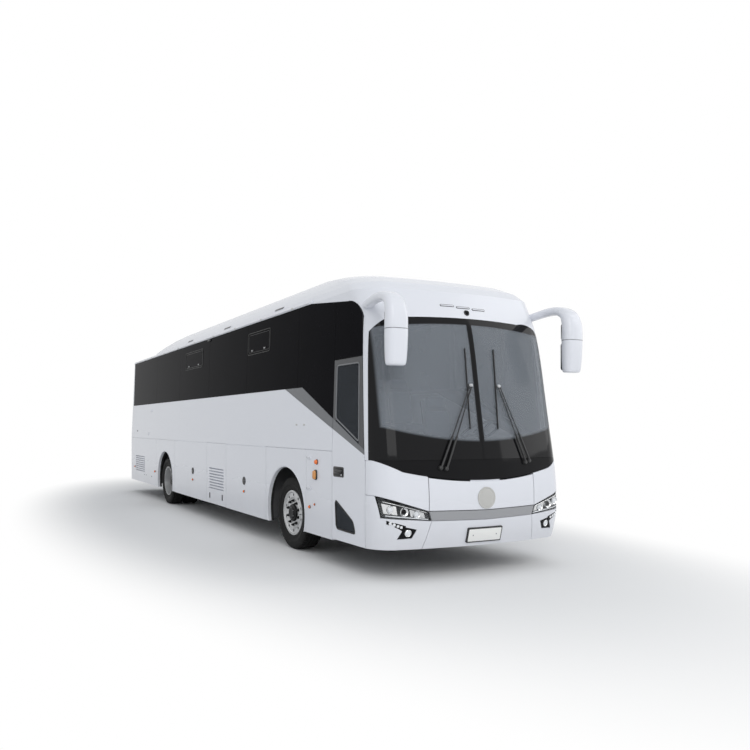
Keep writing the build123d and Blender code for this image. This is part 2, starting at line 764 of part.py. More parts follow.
# corners of a fog lamp's chevron, out from the middle and up
FOG_LAMP = ((1165, 640), (985, 575), (850, 545), (895, 455), (1055, 449), (1010, 535))
fog_outline = front_outline(*FOG_LAMP)
keep(both_sides(nose_panel(fog_outline)), "fog_lamps")

BUMPER_LAP = 20.0  # outline carried below the skin's lower edge
bumper_base = BUMPER_Z - BUMPER_LAP
bumper_middle = front_outline(
    *mirrored([strip_low, LAMP_LOW_IN, (BUMPER_HALF, bumper_base), (MIDDLE, bumper_base)])
)
bumper_side = front_outline(
    (CORNER_SIDE, LAMP_TOP_OUT[1]),
    LAMP_TOP_OUT,
    LAMP_LOW_OUT,
    LAMP_LOW_IN,
    (BUMPER_HALF, bumper_base),
    (CORNER_SIDE, bumper_base),
)
with BuildSketch() as bumper_corner_outline:
    add(bumper_side)
    add(fog_outline, mode=Mode.SUBTRACT)
keep(nose_panel(bumper_middle), "bumper_middle")
keep(both_sides(nose_panel(bumper_corner_outline.sketch)), "bumper_corners")


# Roof: cap with the front pillars, flat roof panel and equipment pod

with BuildSketch() as below_brow:
    with Locations((X_CORNER - CAP_BACK / 2, CANT_Z / 2)):
        Rectangle(CAP_BACK + NOSE_DEPTH * 4, CANT_Z)
    add(brow_region.sketch, mode=Mode.SUBTRACT)

pillar_z = ROOF_ROWS[0][0]
with BuildPart() as pillar_shell:
    add(between(nose_solid, nose_cavity))
    with Locations((X_CORNER, 0, SCREEN_BOTTOM_Z)):
        Box(
            2 * NOSE_DEPTH + 4 * PILLAR_LEAN,
            BODY_WIDTH * 2,
            pillar_z - SCREEN_BOTTOM_Z,
            align=(Align.CENTER, Align.CENTER, Align.MIN),
            mode=Mode.INTERSECT,
        )
with BuildPart() as roof_cap:
    add(roof_form.part)
    with Locations((X_CORNER - CAP_BACK, 0, 0)):
        Box(
            BODY_WIDTH,
            BODY_WIDTH * 2,
            BODY_WIDTH * 2,
            align=(Align.MIN, Align.CENTER, Align.MIN),
            mode=Mode.INTERSECT,
        )
    add(nose_cavity, mode=Mode.SUBTRACT)
    add(pillar_shell.part)
    with BuildSketch(Plane.XZ):
        add(below_brow.sketch)
    extrude(amount=BODY_WIDTH, both=True, mode=Mode.SUBTRACT)
    add(screen_region.part, mode=Mode.SUBTRACT)
keep(roof_cap.part, "roof_cap")

ROOF_EDGE = 40.0
ROOF_LAP = 6.0  # roof panel past the side's upper edge
roof_half = half_width(CANT_Z) + ROOF_LAP
roof_back = X_TAIL + TAIL_RAKE
roof_turn = roof_back + TAIL_RADIUS  # where the straight side ends
with BuildPart() as roof_panel:
    with BuildSketch(Plane.XY.offset(CANT_Z)):
        with BuildLine():
            Polyline(
                (roof_turn, -roof_half),
                (X_CORNER - CAP_BACK, -roof_half),
                (X_CORNER - CAP_BACK, roof_half),
                (roof_turn, roof_half),
            )
            RadiusArc((roof_turn, roof_half), (roof_back, roof_half - TAIL_RADIUS), -TAIL_RADIUS)
            Line((roof_back, roof_half - TAIL_RADIUS), (roof_back, TAIL_RADIUS - roof_half))
            RadiusArc((roof_back, TAIL_RADIUS - roof_half), (roof_turn, -roof_half), -TAIL_RADIUS)
        make_face()
    extrude(amount=ROOF_Z - CANT_Z)
    side_edges = roof_panel.faces().sort_by(Axis.Z)[-1].edges().filter_by(Axis.X)
    fillet(side_edges, ROOF_EDGE)
keep(roof_panel.part, "roof_panel")

with BuildPart() as roof_pod:
    add(roof_form.part)
    with Locations((X_CORNER - CAP_BACK, 0, ROOF_Z)):
        Box(
            BODY_LENGTH,
            BODY_WIDTH * 2,
            BODY_WIDTH,
            align=(Align.MAX, Align.CENTER, Align.MIN),
            mode=Mode.INTERSECT,
        )
keep(roof_pod.part, "roof_pod")


# Tail: corner-to-corner shell, cut into its panels in rear view

TAIL_BUMPER_Z = 700.0
MOTOR_HALF = 850.0
MOTOR_LOW_Z = 715.0
MOTOR_TOP_Z = 1640.0
TAIL_LAMP = (1010.0, 1150.0, 830.0, 1600.0)  # inner side, outer side, low, high
TAIL_GLASS = (980.0, 2170.0, 2960.0)  # half width, low, high


def tail_outline(z, rake, inset):
    """Plan outline of the tail at one height."""
    width = half_width(z) - inset
    radius = TAIL_RADIUS - inset
    back = X_TAIL + rake + inset
    front = X_TAIL + REAR_CORNER
    with BuildSketch(Plane.XY.offset(z)) as outline:
        with BuildLine():
            Polyline((back + radius, -width), (front, -width), (front, width), (back + radius, width))
            RadiusArc((back + radius, width), (back, width - radius), -radius)
            Line((back, width - radius), (back, radius - width))
            RadiusArc((back, radius - width), (back + radius, -width), -radius)
        make_face()
    return outline.sketch


def tail_form(inset):
    """The tail as a solid set in from its skin: upright to the waist and raked above it."""
    foot = tail_outline(SKIRT_Z, 0.0, inset)
    waist = tail_outline(WAIST_Z, 0.0, inset)
    top = tail_outline(CANT_Z, TAIL_RAKE, inset)
    with BuildPart() as tail:
        extrude(foot, amount=WAIST_Z - SKIRT_Z)
        loft([waist, top], ruled=True)
    return tail.part


tail_skin = between(tail_form(0), tail_form(SKIN))
tail_backing = between(tail_form(SKIN), tail_form(WALL))


def tail_cut(layer, outline, grow=0.0):
    """The piece of a tail layer inside a rear outline."""
    with BuildPart() as piece:
        add(layer)
        with BuildSketch(Plane.YZ.offset(X_TAIL - WALL)):
            add(outline)
            if grow:
                offset(amount=grow, kind=Kind.INTERSECTION)
        extrude(amount=REAR_CORNER + 2 * WALL, mode=Mode.INTERSECT)
    return piece.part


def tail_panel(outline, gap=0.0):
    """A tail panel with a skin and a backing."""
    skin = tail_cut(tail_skin, outline, -gap if gap else -SEAM / 2)
    backing = tail_cut(tail_backing, outline, -gap)
    with BuildPart() as panel:
        add(skin)
        add(backing)
    return panel.part


def front_box(half, low, high):
    """A rectangle across the middle in front or rear view."""
    return front_outline((-half, low), (half, low), (half, high), (-half, high))


inner, outer, low, high = TAIL_LAMP
tail_lamp_outline = front_outline((inner, low), (outer, low), (outer, high), (inner, high))
tail_glass_outline = front_box(*TAIL_GLASS)
motor_hole = front_box(MOTOR_HALF, TAIL_BUMPER_Z, MOTOR_TOP_Z)
with BuildSketch() as rear_outline:
    with Locations((0, (TAIL_BUMPER_Z + CANT_Z) / 2)):
        Rectangle(2 * CORNER_SIDE, CANT_Z - TAIL_BUMPER_Z)
    for hole in (motor_hole, tail_glass_outline, tail_lamp_outline):
        add(hole, mode=Mode.SUBTRACT)
    add(mirror(tail_lamp_outline, about=Plane.YZ, mode=Mode.PRIVATE), mode=Mode.SUBTRACT)
motor_rake = TAIL_RAKE * (MOTOR_TOP_Z - WAIST_Z) / (CANT_Z - WAIST_Z)
motor_hinge_x = X_TAIL + motor_rake + HINGE_DEPTH
MOTOR_HINGE_HALF = MOTOR_HALF - 60.0

rear_shell = tail_panel(rear_outline.sketch)
with BuildPart() as rear_wall:
    add(rear_shell)
    with BuildSketch(Plane.XZ.offset(-MOTOR_HINGE_HALF - DOOR_GAP)):
        with Locations((motor_hinge_x, MOTOR_TOP_Z)):
            Circle(HINGE_BEAD + FIT)
    extrude(amount=2 * (MOTOR_HINGE_HALF + DOOR_GAP), mode=Mode.SUBTRACT)
keep(rear_wall.part, "rear_wall")

motor_panel = tail_panel(
    front_box(MOTOR_HALF, MOTOR_LOW_Z - DOOR_GAP, MOTOR_TOP_Z - HINGE_DROP + DOOR_GAP), gap=DOOR_GAP
)
with BuildPart() as motor_door:
    add(motor_panel)
    with BuildSketch(Plane.XZ.offset(-MOTOR_HINGE_HALF)):
        with Locations((motor_hinge_x, MOTOR_TOP_Z)):
            Circle(HINGE_BEAD)
        with Locations((motor_hinge_x, MOTOR_TOP_Z - HINGE_DROP / 2 - 2)):
            Rectangle(HINGE_BEAD, HINGE_DROP + 4)
    extrude(amount=2 * MOTOR_HINGE_HALF)
keep(motor_door.part, "motor_door")

SKIRT_LAP = 10.0  # outline carried below the skirt
tail_lamp = tail_panel(tail_lamp_outline)
keep(both_sides(tail_lamp), "tail_lamps")
keep(tail_cut(between(tail_form(0), tail_form(SKIN + GLASS)), tail_glass_outline), "rear_window")
bumper_outline = front_box(CORNER_SIDE, SKIRT_Z - SKIRT_LAP, TAIL_BUMPER_Z)
keep(tail_panel(bumper_outline), "rear_bumper")


# Floors, bulkheads and underframe

DECK_HALF = HALF - WALL - 8.0
BAY_HALF = HALF - WALL - 18.0
RAIL_Z = 1400.0
RAIL_WIDTH = 32.0
DECK_FRONT = 1440.0
WELL_INNER = -470.0
WELL_BACK = 800.0
WELL_FRONT = 40.0
STEP_DEPTH = 300.0
BAY_FRONT = ARCH_PANEL_BACK + 6.0
BAY_BACK = REAR_ARCH_FRONT - 6.0


def block(x_low, x_high, y_low, y_high, z_low, z_high):
    """A box from its six faces, inside the current part."""
    with Locations(((x_low + x_high) / 2, (y_low + y_high) / 2, (z_low + z_high) / 2)):
        return Box(x_high - x_low, y_high - y_low, z_high - z_low)


def span(front, back, y_low, y_high, z_low, z_high):
    """A box from distances behind the corner seam."""
    return block(X_CORNER - back, X_CORNER - front, y_low, y_high, z_low, z_high)


with BuildPart() as floor_deck:
    span(DECK_FRONT, SIDE_END, -DECK_HALF, DECK_HALF, FLOOR_Z - SHEET, FLOOR_Z)
    rail_outer = half_width(RAIL_Z) - WALL - FIT
    for side in (-1, 1):
        low, high = sorted((side * (DECK_HALF - RAIL_WIDTH), side * DECK_HALF))
        span(DECK_FRONT, SIDE_END, low, high, FLOOR_Z, RAIL_Z)
        low, high = sorted((side * (DECK_HALF - RAIL_WIDTH), side * rail_outer))
        span(DECK_FRONT, SIDE_END, low, high, WAIST_Z + 4, RAIL_Z)
keep(floor_deck.part, "floor_deck")

with BuildPart() as entrance:
    span(WELL_BACK, DECK_FRONT, -BAY_HALF, BAY_HALF, PLATFORM_Z - SHEET, PLATFORM_Z)
    span(WELL_FRONT, WELL_BACK, WELL_INNER, BAY_HALF, PLATFORM_Z - SHEET, PLATFORM_Z)
    span(DECK_FRONT, DECK_FRONT + SHEET, -BAY_HALF, BAY_HALF, PLATFORM_Z - SHEET, FLOOR_Z - SHEET)
    span(WELL_FRONT, WELL_BACK, -BAY_HALF, WELL_INNER, TRAY_Z - SHEET, TRAY_Z)
    span(WELL_FRONT, WELL_BACK, WELL_INNER - SHEET, WELL_INNER, TRAY_Z - SHEET, PLATFORM_Z)
    span(WELL_BACK, WELL_BACK + SHEET, -BAY_HALF, WELL_INNER, TRAY_Z - SHEET, PLATFORM_Z)
    span(WELL_FRONT, WELL_BACK, WELL_INNER - STEP_DEPTH, WELL_INNER, TRAY_Z, (TRAY_Z + PLATFORM_Z) / 2)
    span(WELL_BACK, DECK_FRONT, -(HALF - WALL), -BAY_HALF, PLATFORM_Z - SHEET, PLATFORM_Z)
    span(WELL_FRONT, DECK_FRONT, BAY_HALF, HALF - WALL, PLATFORM_Z - SHEET, PLATFORM_Z)
keep(entrance.part, "entrance_steps")

with BuildPart() as luggage_bay:
    span(BAY_FRONT, BAY_BACK, -BAY_HALF, BAY_HALF, TRAY_Z - SHEET, TRAY_Z)
    span(BAY_FRONT, BAY_FRONT + SHEET, -BAY_HALF, BAY_HALF, TRAY_Z, FLOOR_Z - SHEET)
    span(BAY_BACK - SHEET, BAY_BACK, -BAY_HALF, BAY_HALF, TRAY_Z, FLOOR_Z - SHEET)
    span(FLAP_SPLIT, SERVICE_BACK, -BAY_HALF, BAY_HALF, TRAY_Z, TRAY_Z + SHEET)
keep(luggage_bay.part, "luggage_bay")

HOUSING_TOP_Z = 1180.0
HOUSING_LOW_Z = 800.0
FRONT_HOUSING_INNER = 500.0
REAR_HOUSING_INNER = 540.0
# front, back, inner face, plate at the front or at the back
HOUSINGS = (
    (DECK_FRONT + SHEET, BAY_FRONT, FRONT_HOUSING_INNER),
    (BAY_BACK, REAR_ARCH_BACK, REAR_HOUSING_INNER),
)
END_WALL_Z = 370.0  # foot of the housings' end walls
with BuildPart() as wheel_housings:
    for front, back, inner in HOUSINGS:
        span(front, back, -(HALF - WALL), -inner, HOUSING_TOP_Z - SHEET, HOUSING_TOP_Z)
        span(front, back, -inner - SHEET, -inner, HOUSING_LOW_Z, HOUSING_TOP_Z)
    for front, inner in ((REAR_ARCH_BACK - SHEET, REAR_HOUSING_INNER), (DECK_FRONT + SHEET, FRONT_HOUSING_INNER)):
        span(front, front + SHEET, -(HALF - WALL), -inner, END_WALL_Z, HOUSING_TOP_Z)
    mirror(about=Plane.XZ)
keep(wheel_housings.part, "wheel_housings")

FRONT_RAIL = (360.0, 440.0, 580.0, 760.0)  # inner, outer, low, high
REAR_RAIL = (420.0, 500.0, 640.0, 800.0)
CROSS = 80.0
CROSS_INSET = 30.0  # cross member inside the rail's height
RAIL_FRONT = -120.0
RAIL_BACK = 11350.0
FRONT_CROSSES = (RAIL_FRONT, 1250.0, 2600.0)
REAR_CROSSES = (7600.0, 8600.0, RAIL_BACK - CROSS)
JACK_PAD = 100.0
JACK_DROP = 20.0
JACKS = ((1120.0, FRONT_RAIL), (10120.0, REAR_RAIL))  # distance behind the seam, rail above
with BuildPart() as underframe:
    inner, outer, low, high = FRONT_RAIL
    span(RAIL_FRONT, BAY_FRONT, -outer, -inner, low, high)
    span(RAIL_FRONT, BAY_FRONT, inner, outer, low, high)
    for cross in FRONT_CROSSES:
        span(cross, cross + CROSS, -outer, outer, low + CROSS_INSET, high - CROSS_INSET)
    for cross, roof in zip(FRONT_CROSSES, (None, PLATFORM_Z - SHEET, FLOOR_Z - SHEET)):
        if roof:
            span(cross, cross + CROSS, -outer, -inner, high, roof)
            span(cross, cross + CROSS, inner, outer, high, roof)
    inner, outer, low, high = REAR_RAIL
    span(BAY_BACK, RAIL_BACK, -outer, -inner, low, high)
    span(BAY_BACK, RAIL_BACK, inner, outer, low, high)
    for cross in REAR_CROSSES:
        span(cross, cross + CROSS, -outer, outer, low + CROSS_INSET, high - CROSS_INSET)
        span(cross, cross + CROSS, -outer, -inner, high, FLOOR_Z - SHEET)
        span(cross, cross + CROSS, inner, outer, high, FLOOR_Z - SHEET)
    for back, (inner, outer, low, high) in JACKS:
        span(back - JACK_PAD / 2, back + JACK_PAD / 2, -outer, -inner, low - JACK_DROP, low)
        span(back - JACK_PAD / 2, back + JACK_PAD / 2, inner, outer, low - JACK_DROP, low)
keep(underframe.part, "underframe")


# Axles, knuckles and track rod

KINGPIN_Y = FRONT_TRACK / 2 - KINGPIN_OFFSET
BEAM_LOW_Z = 400.0
BEAM_HIGH_Z = 490.0
BEAM_HALF = 55.0
BOSS_RADIUS = 48.0
BOSS_HIGH_Z = 560.0
EAR = 28.0
EAR_GAP = 3.0
WEB_INNER = 56.0
WEB_OUTER = 84.0
SPINDLE_END = 70.0  # past the tyre's middle plane
ARM_PIN = 12.0
ROD_RADIUS = 16.0
ROD_EYE = 24.0
ARM_WIDTH = ROD_EYE * 1.8  # steering arm's bar
ROD_Z = 340.0
ROD_HIGH = 26.0
AXLE_TUBE = 85.0
PAD = 100.0

with BuildPart() as front_axle:
    beam_y = KINGPIN_Y - BOSS_RADIUS / 2
    block(X_FRONT_AXLE - BEAM_HALF, X_FRONT_AXLE + BEAM_HALF, -beam_y, beam_y, BEAM_LOW_Z, BEAM_HIGH_Z)
    with BuildSketch(Plane.XY.offset(BEAM_LOW_Z)):
        with Locations((X_FRONT_AXLE, -KINGPIN_Y), (X_FRONT_AXLE, KINGPIN_Y)):
            Circle(BOSS_RADIUS)
    extrude(amount=BOSS_HIGH_Z - BEAM_LOW_Z)
    with Locations((X_FRONT_AXLE, -KINGPIN_Y, 0), (X_FRONT_AXLE, KINGPIN_Y, 0)):
        Cylinder(KINGPIN_RADIUS + FIT, BOSS_HIGH_Z * 3, mode=Mode.SUBTRACT)
keep(front_axle.part, "front_axle")

arm_x = X_FRONT_AXLE - STEERING_ARM
lower_ear_z = BEAM_LOW_Z - EAR_GAP - EAR
upper_ear_z = BOSS_HIGH_Z + EAR_GAP
with BuildPart() as knuckle:
    with BuildSketch(Plane.XY.offset(lower_ear_z)):
        with Locations((X_FRONT_AXLE, -KINGPIN_Y)):
            Circle(BOSS_RADIUS)
        with Locations((X_FRONT_AXLE, -KINGPIN_Y - WEB_OUTER / 2)):
            Rectangle(2 * BOSS_RADIUS, WEB_OUTER)
        with Locations(((X_FRONT_AXLE + arm_x) / 2, -KINGPIN_Y)):
            Rectangle(STEERING_ARM, ARM_WIDTH)
        with Locations((arm_x, -KINGPIN_Y)):
            Circle(ROD_EYE)
    extrude(amount=EAR)
    with BuildSketch(Plane.XY.offset(upper_ear_z)):
        with Locations((X_FRONT_AXLE, -KINGPIN_Y)):
            Circle(BOSS_RADIUS)
        with Locations((X_FRONT_AXLE, -KINGPIN_Y - WEB_OUTER / 2)):
            Rectangle(2 * BOSS_RADIUS, WEB_OUTER)
    extrude(amount=EAR)
    block(
        X_FRONT_AXLE - BOSS_RADIUS,
        X_FRONT_AXLE + BOSS_RADIUS,
        -KINGPIN_Y - WEB_OUTER,
        -KINGPIN_Y - WEB_INNER,
        lower_ear_z,
        upper_ear_z + EAR,
    )
    with BuildSketch(Plane.XY.offset(lower_ear_z)):
        with Locations((X_FRONT_AXLE, -KINGPIN_Y)):
            Circle(KINGPIN_RADIUS)
    extrude(amount=upper_ear_z + EAR - lower_ear_z)
    with BuildSketch(Plane.XY.offset(ROD_Z - ROD_HIGH)):
        with Locations((arm_x, -KINGPIN_Y)):
            Circle(ARM_PIN)
    extrude(amount=lower_ear_z - ROD_Z + ROD_HIGH)
    with BuildSketch(Plane.XZ.offset(KINGPIN_Y + WEB_INNER)):
        with Locations((X_FRONT_AXLE, TYRE_RADIUS)):
            Circle(HUB_BORE - FIT)
    extrude(amount=KINGPIN_OFFSET + SPINDLE_END - WEB_INNER)
keep(knuckle.part, "knuckle_right")
with BuildPart() as knuckle_left:
    add(knuckle.part)
    mirror(about=Plane.XZ, mode=Mode.REPLACE)
keep(knuckle_left.part, "knuckle_left")

with BuildPart() as track_rod:
    with BuildSketch(Plane.XZ.offset(-KINGPIN_Y)):
        with Locations((arm_x, ROD_Z)):
            Circle(ROD_RADIUS)
    extrude(amount=2 * KINGPIN_Y)
    with Locations((arm_x, -KINGPIN_Y, ROD_Z), (arm_x, KINGPIN_Y, ROD_Z)):
        Cylinder(ROD_EYE, ROD_HIGH)
    with Locations((arm_x, -KINGPIN_Y, ROD_Z)):
        Cylinder(ARM_PIN + FIT, ROD_HIGH * 2, mode=Mode.SUBTRACT)
    with Locations((arm_x, KINGPIN_Y, ROD_Z)):
        Cylinder(ARM_PIN + 2 * FIT, ROD_HIGH * 2, mode=Mode.SUBTRACT)
keep(track_rod.part, "track_rod")

DIFF_RADIUS = 190.0
DIFF_HALF = 170.0
rear_spindle = REAR_OUTER_TRACK / 2 + SPINDLE_END
rear_hub_inner = REAR_OUTER_TRACK / 2 - TWIN_PITCH - RIM_WIDTH / 2
HUB_CLEARANCE = 10.0
tube_half = rear_hub_inner - HUB_CLEARANCE
with BuildPart() as rear_axle:
    with BuildSketch(Plane.XZ.offset(-rear_spindle)):
        with Locations((X_REAR_AXLE, TYRE_RADIUS)):
            Circle(HUB_BORE - FIT)
    extrude(amount=2 * rear_spindle)
    with BuildSketch(Plane.XZ.offset(-tube_half)):
        with Locations((X_REAR_AXLE, TYRE_RADIUS)):
            Circle(AXLE_TUBE)
    extrude(amount=2 * tube_half)
    with BuildSketch(Plane.XZ.offset(-DIFF_HALF)):
        with Locations((X_REAR_AXLE, TYRE_RADIUS)):
            Circle(DIFF_RADIUS)
    extrude(amount=2 * DIFF_HALF)
    for side in (-1, 1):
        middle = side * (REAR_RAIL[0] + REAR_RAIL[1]) / 2
        low, high = TYRE_RADIUS, TYRE_RADIUS + AXLE_TUBE
        block(X_REAR_AXLE - PAD, X_REAR_AXLE + PAD, middle - PAD, middle + PAD, low, high)
keep(rear_axle.part, "rear_axle")

front_spring_y = (FRONT_RAIL[0] + FRONT_RAIL[1]) / 2
rear_spring_y = (REAR_RAIL[0] + REAR_RAIL[1]) / 2
# axle position, distance out, seat, rail above
SPRINGS = (
    (X_FRONT_AXLE, front_spring_y, BEAM_HIGH_Z, FRONT_RAIL[2]),
    (X_REAR_AXLE, rear_spring_y, TYRE_RADIUS + AXLE_TUBE, REAR_RAIL[2]),
)
with BuildPart() as air_springs:
    for x, y, seat, rail in SPRINGS:
        with BuildSketch(Plane.XY.offset(seat)):
            with Locations((x, -y), (x, y)):
                Circle(PAD)
        extrude(amount=rail - seat)
keep(air_springs.part, "air_springs")


# Wheels

SHOULDER_WIDTH = 236.0
SHOULDER_DROP = 32.0
DISC_OUT = 52.0
DISC_IN = 26.0
DISH_RADIUS = 266.0
LIP_RADIUS = 281.0
HUB_RADIUS = 108.0
HUB_OUT = 92.0
HOLE_CIRCLE = 205.0
HOLE_RADIUS = 33.0
REAR_DISC_OUT = -88.0
REAR_HUB_OUT = 40.0


def wheel_plane(x, y):
    """Section plane of a wheel: its own x runs outboard, its y is the radius."""
    side = 1 if y > 0 else -1
    return Plane(origin=(x, y, TYRE_RADIUS), x_dir=(0, side, 0), z_dir=(side, 0, 0))


def turned(plane, points):
    """A solid of revolution about a wheel's axle, from lateral places and radii."""
    with BuildPart() as solid:
        with BuildSketch(plane):
            with BuildLine():
                Polyline(*points, close=True)
            make_face()
        revolve(axis=Axis(plane.origin, (0, 1, 0)))
    return solid.part


TYRE_SECTION = (
    (-TYRE_WIDTH / 2, RIM_RADIUS + FIT),
    (-TYRE_WIDTH / 2, TYRE_RADIUS - SHOULDER_DROP),
    (-SHOULDER_WIDTH / 2, TYRE_RADIUS),
    (SHOULDER_WIDTH / 2, TYRE_RADIUS),
    (TYRE_WIDTH / 2, TYRE_RADIUS - SHOULDER_DROP),
    (TYRE_WIDTH / 2, RIM_RADIUS + FIT),
)
rim_half = RIM_WIDTH / 2
FRONT_RIM = (
    (rim_half, RIM_RADIUS),
    (rim_half, LIP_RADIUS),
    (DISC_OUT, DISH_RADIUS),
    (DISC_OUT, HUB_RADIUS),
    (HUB_OUT, HUB_RADIUS),
    (HUB_OUT, HUB_BORE),
    (DISC_IN, HUB_BORE),
    (DISC_IN, LIP_RADIUS),
    (-rim_half, LIP_RADIUS),
    (-rim_half, RIM_RADIUS),
)
twin_out = -TWIN_PITCH + rim_half
twin_in = -TWIN_PITCH - rim_half
REAR_RIM = (
    (rim_half, RIM_RADIUS),
    (rim_half, LIP_RADIUS),
    (REAR_DISC_OUT, DISH_RADIUS),
    (REAR_DISC_OUT, HUB_RADIUS),
    (REAR_HUB_OUT, HUB_RADIUS),
    (REAR_HUB_OUT, HUB_BORE),
    (twin_out - SHEET, HUB_BORE),
    (twin_out - SHEET, LIP_RADIUS),
    (twin_in, LIP_RADIUS),
    (twin_in, RIM_RADIUS),
    (twin_out, RIM_RADIUS),
    (twin_out, 2 * HUB_RADIUS),
    (-rim_half, 2 * HUB_RADIUS),
    (-rim_half, RIM_RADIUS),
)


def with_hand_holes(rim, x, y, low, high):
    """A rim with its ring of hand holes cut between two lateral places."""
    side = 1 if y > 0 else -1
    face = Plane(origin=(x, y + side * low, TYRE_RADIUS), x_dir=(1, 0, 0), z_dir=(0, side, 0))
    with BuildPart() as holed:
        add(rim)
        with BuildSketch(face):
            with PolarLocations(HOLE_CIRCLE, HAND_HOLES):
                Circle(HOLE_RADIUS)
        extrude(amount=high - low, mode=Mode.SUBTRACT)
    return holed.part


for side, name in ((-1, "right"), (1, "left")):
    y = side * FRONT_TRACK / 2
    plane = wheel_plane(X_FRONT_AXLE, y)
    keep(turned(plane, TYRE_SECTION), f"tyre_front_{name}")
    rim = turned(plane, FRONT_RIM)
    keep(with_hand_holes(rim, X_FRONT_AXLE, y, -rim_half / 2, rim_half), f"rim_front_{name}")
    y = side * REAR_OUTER_TRACK / 2
    plane = wheel_plane(X_REAR_AXLE, y)
    outer_tyre = turned(plane, TYRE_SECTION)
    inner_plane = wheel_plane(X_REAR_AXLE, y - side * TWIN_PITCH)
    inner_tyre = turned(inner_plane, TYRE_SECTION)
    with BuildPart() as twin_tyres:
        add(outer_tyre)
        add(inner_tyre)
    keep(twin_tyres.part, f"tyres_rear_{name}")
    rim = turned(plane, REAR_RIM)
    keep(with_hand_holes(rim, X_REAR_AXLE, y, -rim_half - 1, 0), f"rims_rear_{name}")


# Drive and battery

MOTOR_RADIUS = 200.0
MOTOR_Z = 520.0
MOTOR_FRONT = REAR_AXLE_BACK + 600.0
MOTOR_LENGTH = 700.0
SHAFT_RADIUS = 45.0
BATTERY_FRONT = 9000.0
BATTERY_BACK = 11150.0
BATTERY_HALF = 1150.0
BATTERY_TOP_Z = 1180.0
CRADLE_SET = 100.0  # motor's cradle behind its front face
CRADLE_LENGTH = 80.0
cradle = MOTOR_FRONT + CRADLE_SET
with BuildPart() as traction_motor:
    with BuildSketch(Plane.YZ.offset(X_CORNER - MOTOR_FRONT - MOTOR_LENGTH)):
        with Locations((0, MOTOR_Z)):
            Circle(MOTOR_RADIUS)
    extrude(amount=MOTOR_LENGTH)
    with BuildSketch(Plane.YZ.offset(X_CORNER - MOTOR_FRONT)):
        with Locations((0, TYRE_RADIUS)):
            Circle(SHAFT_RADIUS)
    extrude(amount=MOTOR_FRONT - REAR_AXLE_BACK - DIFF_RADIUS)
    inner, _, low, _ = REAR_RAIL
    span(cradle, cradle + CRADLE_LENGTH, -inner, inner, low, low + SHEET)
keep(traction_motor.part, "traction_motor")
with BuildPart() as battery_pack:
    span(BATTERY_FRONT, BATTERY_BACK, -BATTERY_HALF, BATTERY_HALF, REAR_RAIL[3], BATTERY_TOP_Z)
keep(battery_pack.part, "battery_pack")


# Cabin

SEAT_PITCH = 790.0
SEAT_ROWS = 11
SEAT_FIRST = 2150.0
SEAT_INNER = 300.0
SEAT_OUTER = 1175.0
SEAT_DEPTH = 450.0
SEAT_Z = 420.0
SEAT_BACK_Z = 1120.0
SEAT_THICK = 110.0
SEAT_LEAN = 150.0
DRIVER_Y = 640.0
DRIVER_BACK = 760.0
WHEEL_BACK = 480.0
WHEEL_Z = 1560.0
WHEEL_TILT = 32.0
WHEEL_RING = 225.0
RING_SECTION = 16.0
RING_SIDES = 6
SEAT_SAG = 30.0  # rear edge of the cushion below its front edge
PEDESTAL_TOP = (90.0, 330.0)  # behind the seat's front edge
PEDESTAL_FOOT = (120.0, 300.0)
DRIVER_HALF = 250.0


def seat(front, floor, y_low, y_high):
    """A seat with its pedestal, extruded from its side profile."""
    x = X_CORNER - front
    with BuildPart() as one:
        with BuildSketch(Plane.XZ.offset(-y_high)):
            with BuildLine():
                Polyline(
                    (x - PEDESTAL_FOOT[0], floor),
                    (x - PEDESTAL_TOP[0], floor + SEAT_Z - SEAT_THICK),
                    (x, floor + SEAT_Z - SEAT_THICK),
                    (x, floor + SEAT_Z),
                    (x - SEAT_DEPTH, floor + SEAT_Z - SEAT_SAG),
                    (x - SEAT_DEPTH - SEAT_LEAN, floor + SEAT_BACK_Z),
                    (x - SEAT_DEPTH - SEAT_LEAN - SEAT_THICK, floor + SEAT_BACK_Z),
                    (x - SEAT_DEPTH - SEAT_THICK, floor + SEAT_Z - SEAT_THICK),
                    (x - PEDESTAL_TOP[1], floor + SEAT_Z - SEAT_THICK),
                    (x - PEDESTAL_FOOT[1], floor),
                    close=True,
                )
            make_face()
        extrude(amount=y_high - y_low)
    return one.part


for side, name in ((-1, "right"), (1, "left")):
    low, high = sorted((side * SEAT_INNER, side * SEAT_OUTER))
    rows = [seat(SEAT_FIRST + SEAT_PITCH * row, FLOOR_Z, low, high) for row in range(SEAT_ROWS)]
    with BuildPart() as seats:
        for row in rows:
            add(row)
    keep(seats.part, f"seats_{name}")
keep(seat(DRIVER_BACK, PLATFORM_Z, DRIVER_Y - DRIVER_HALF, DRIVER_Y + DRIVER_HALF), "driver_seat")

column_dir = (-sin(radians(WHEEL_TILT)), 0, cos(radians(WHEEL_TILT)))
wheel_centre = (X_CORNER - WHEEL_BACK, DRIVER_Y, WHEEL_Z)
DASH_LEFT = 1080.0
DASH_RIGHT = -380.0
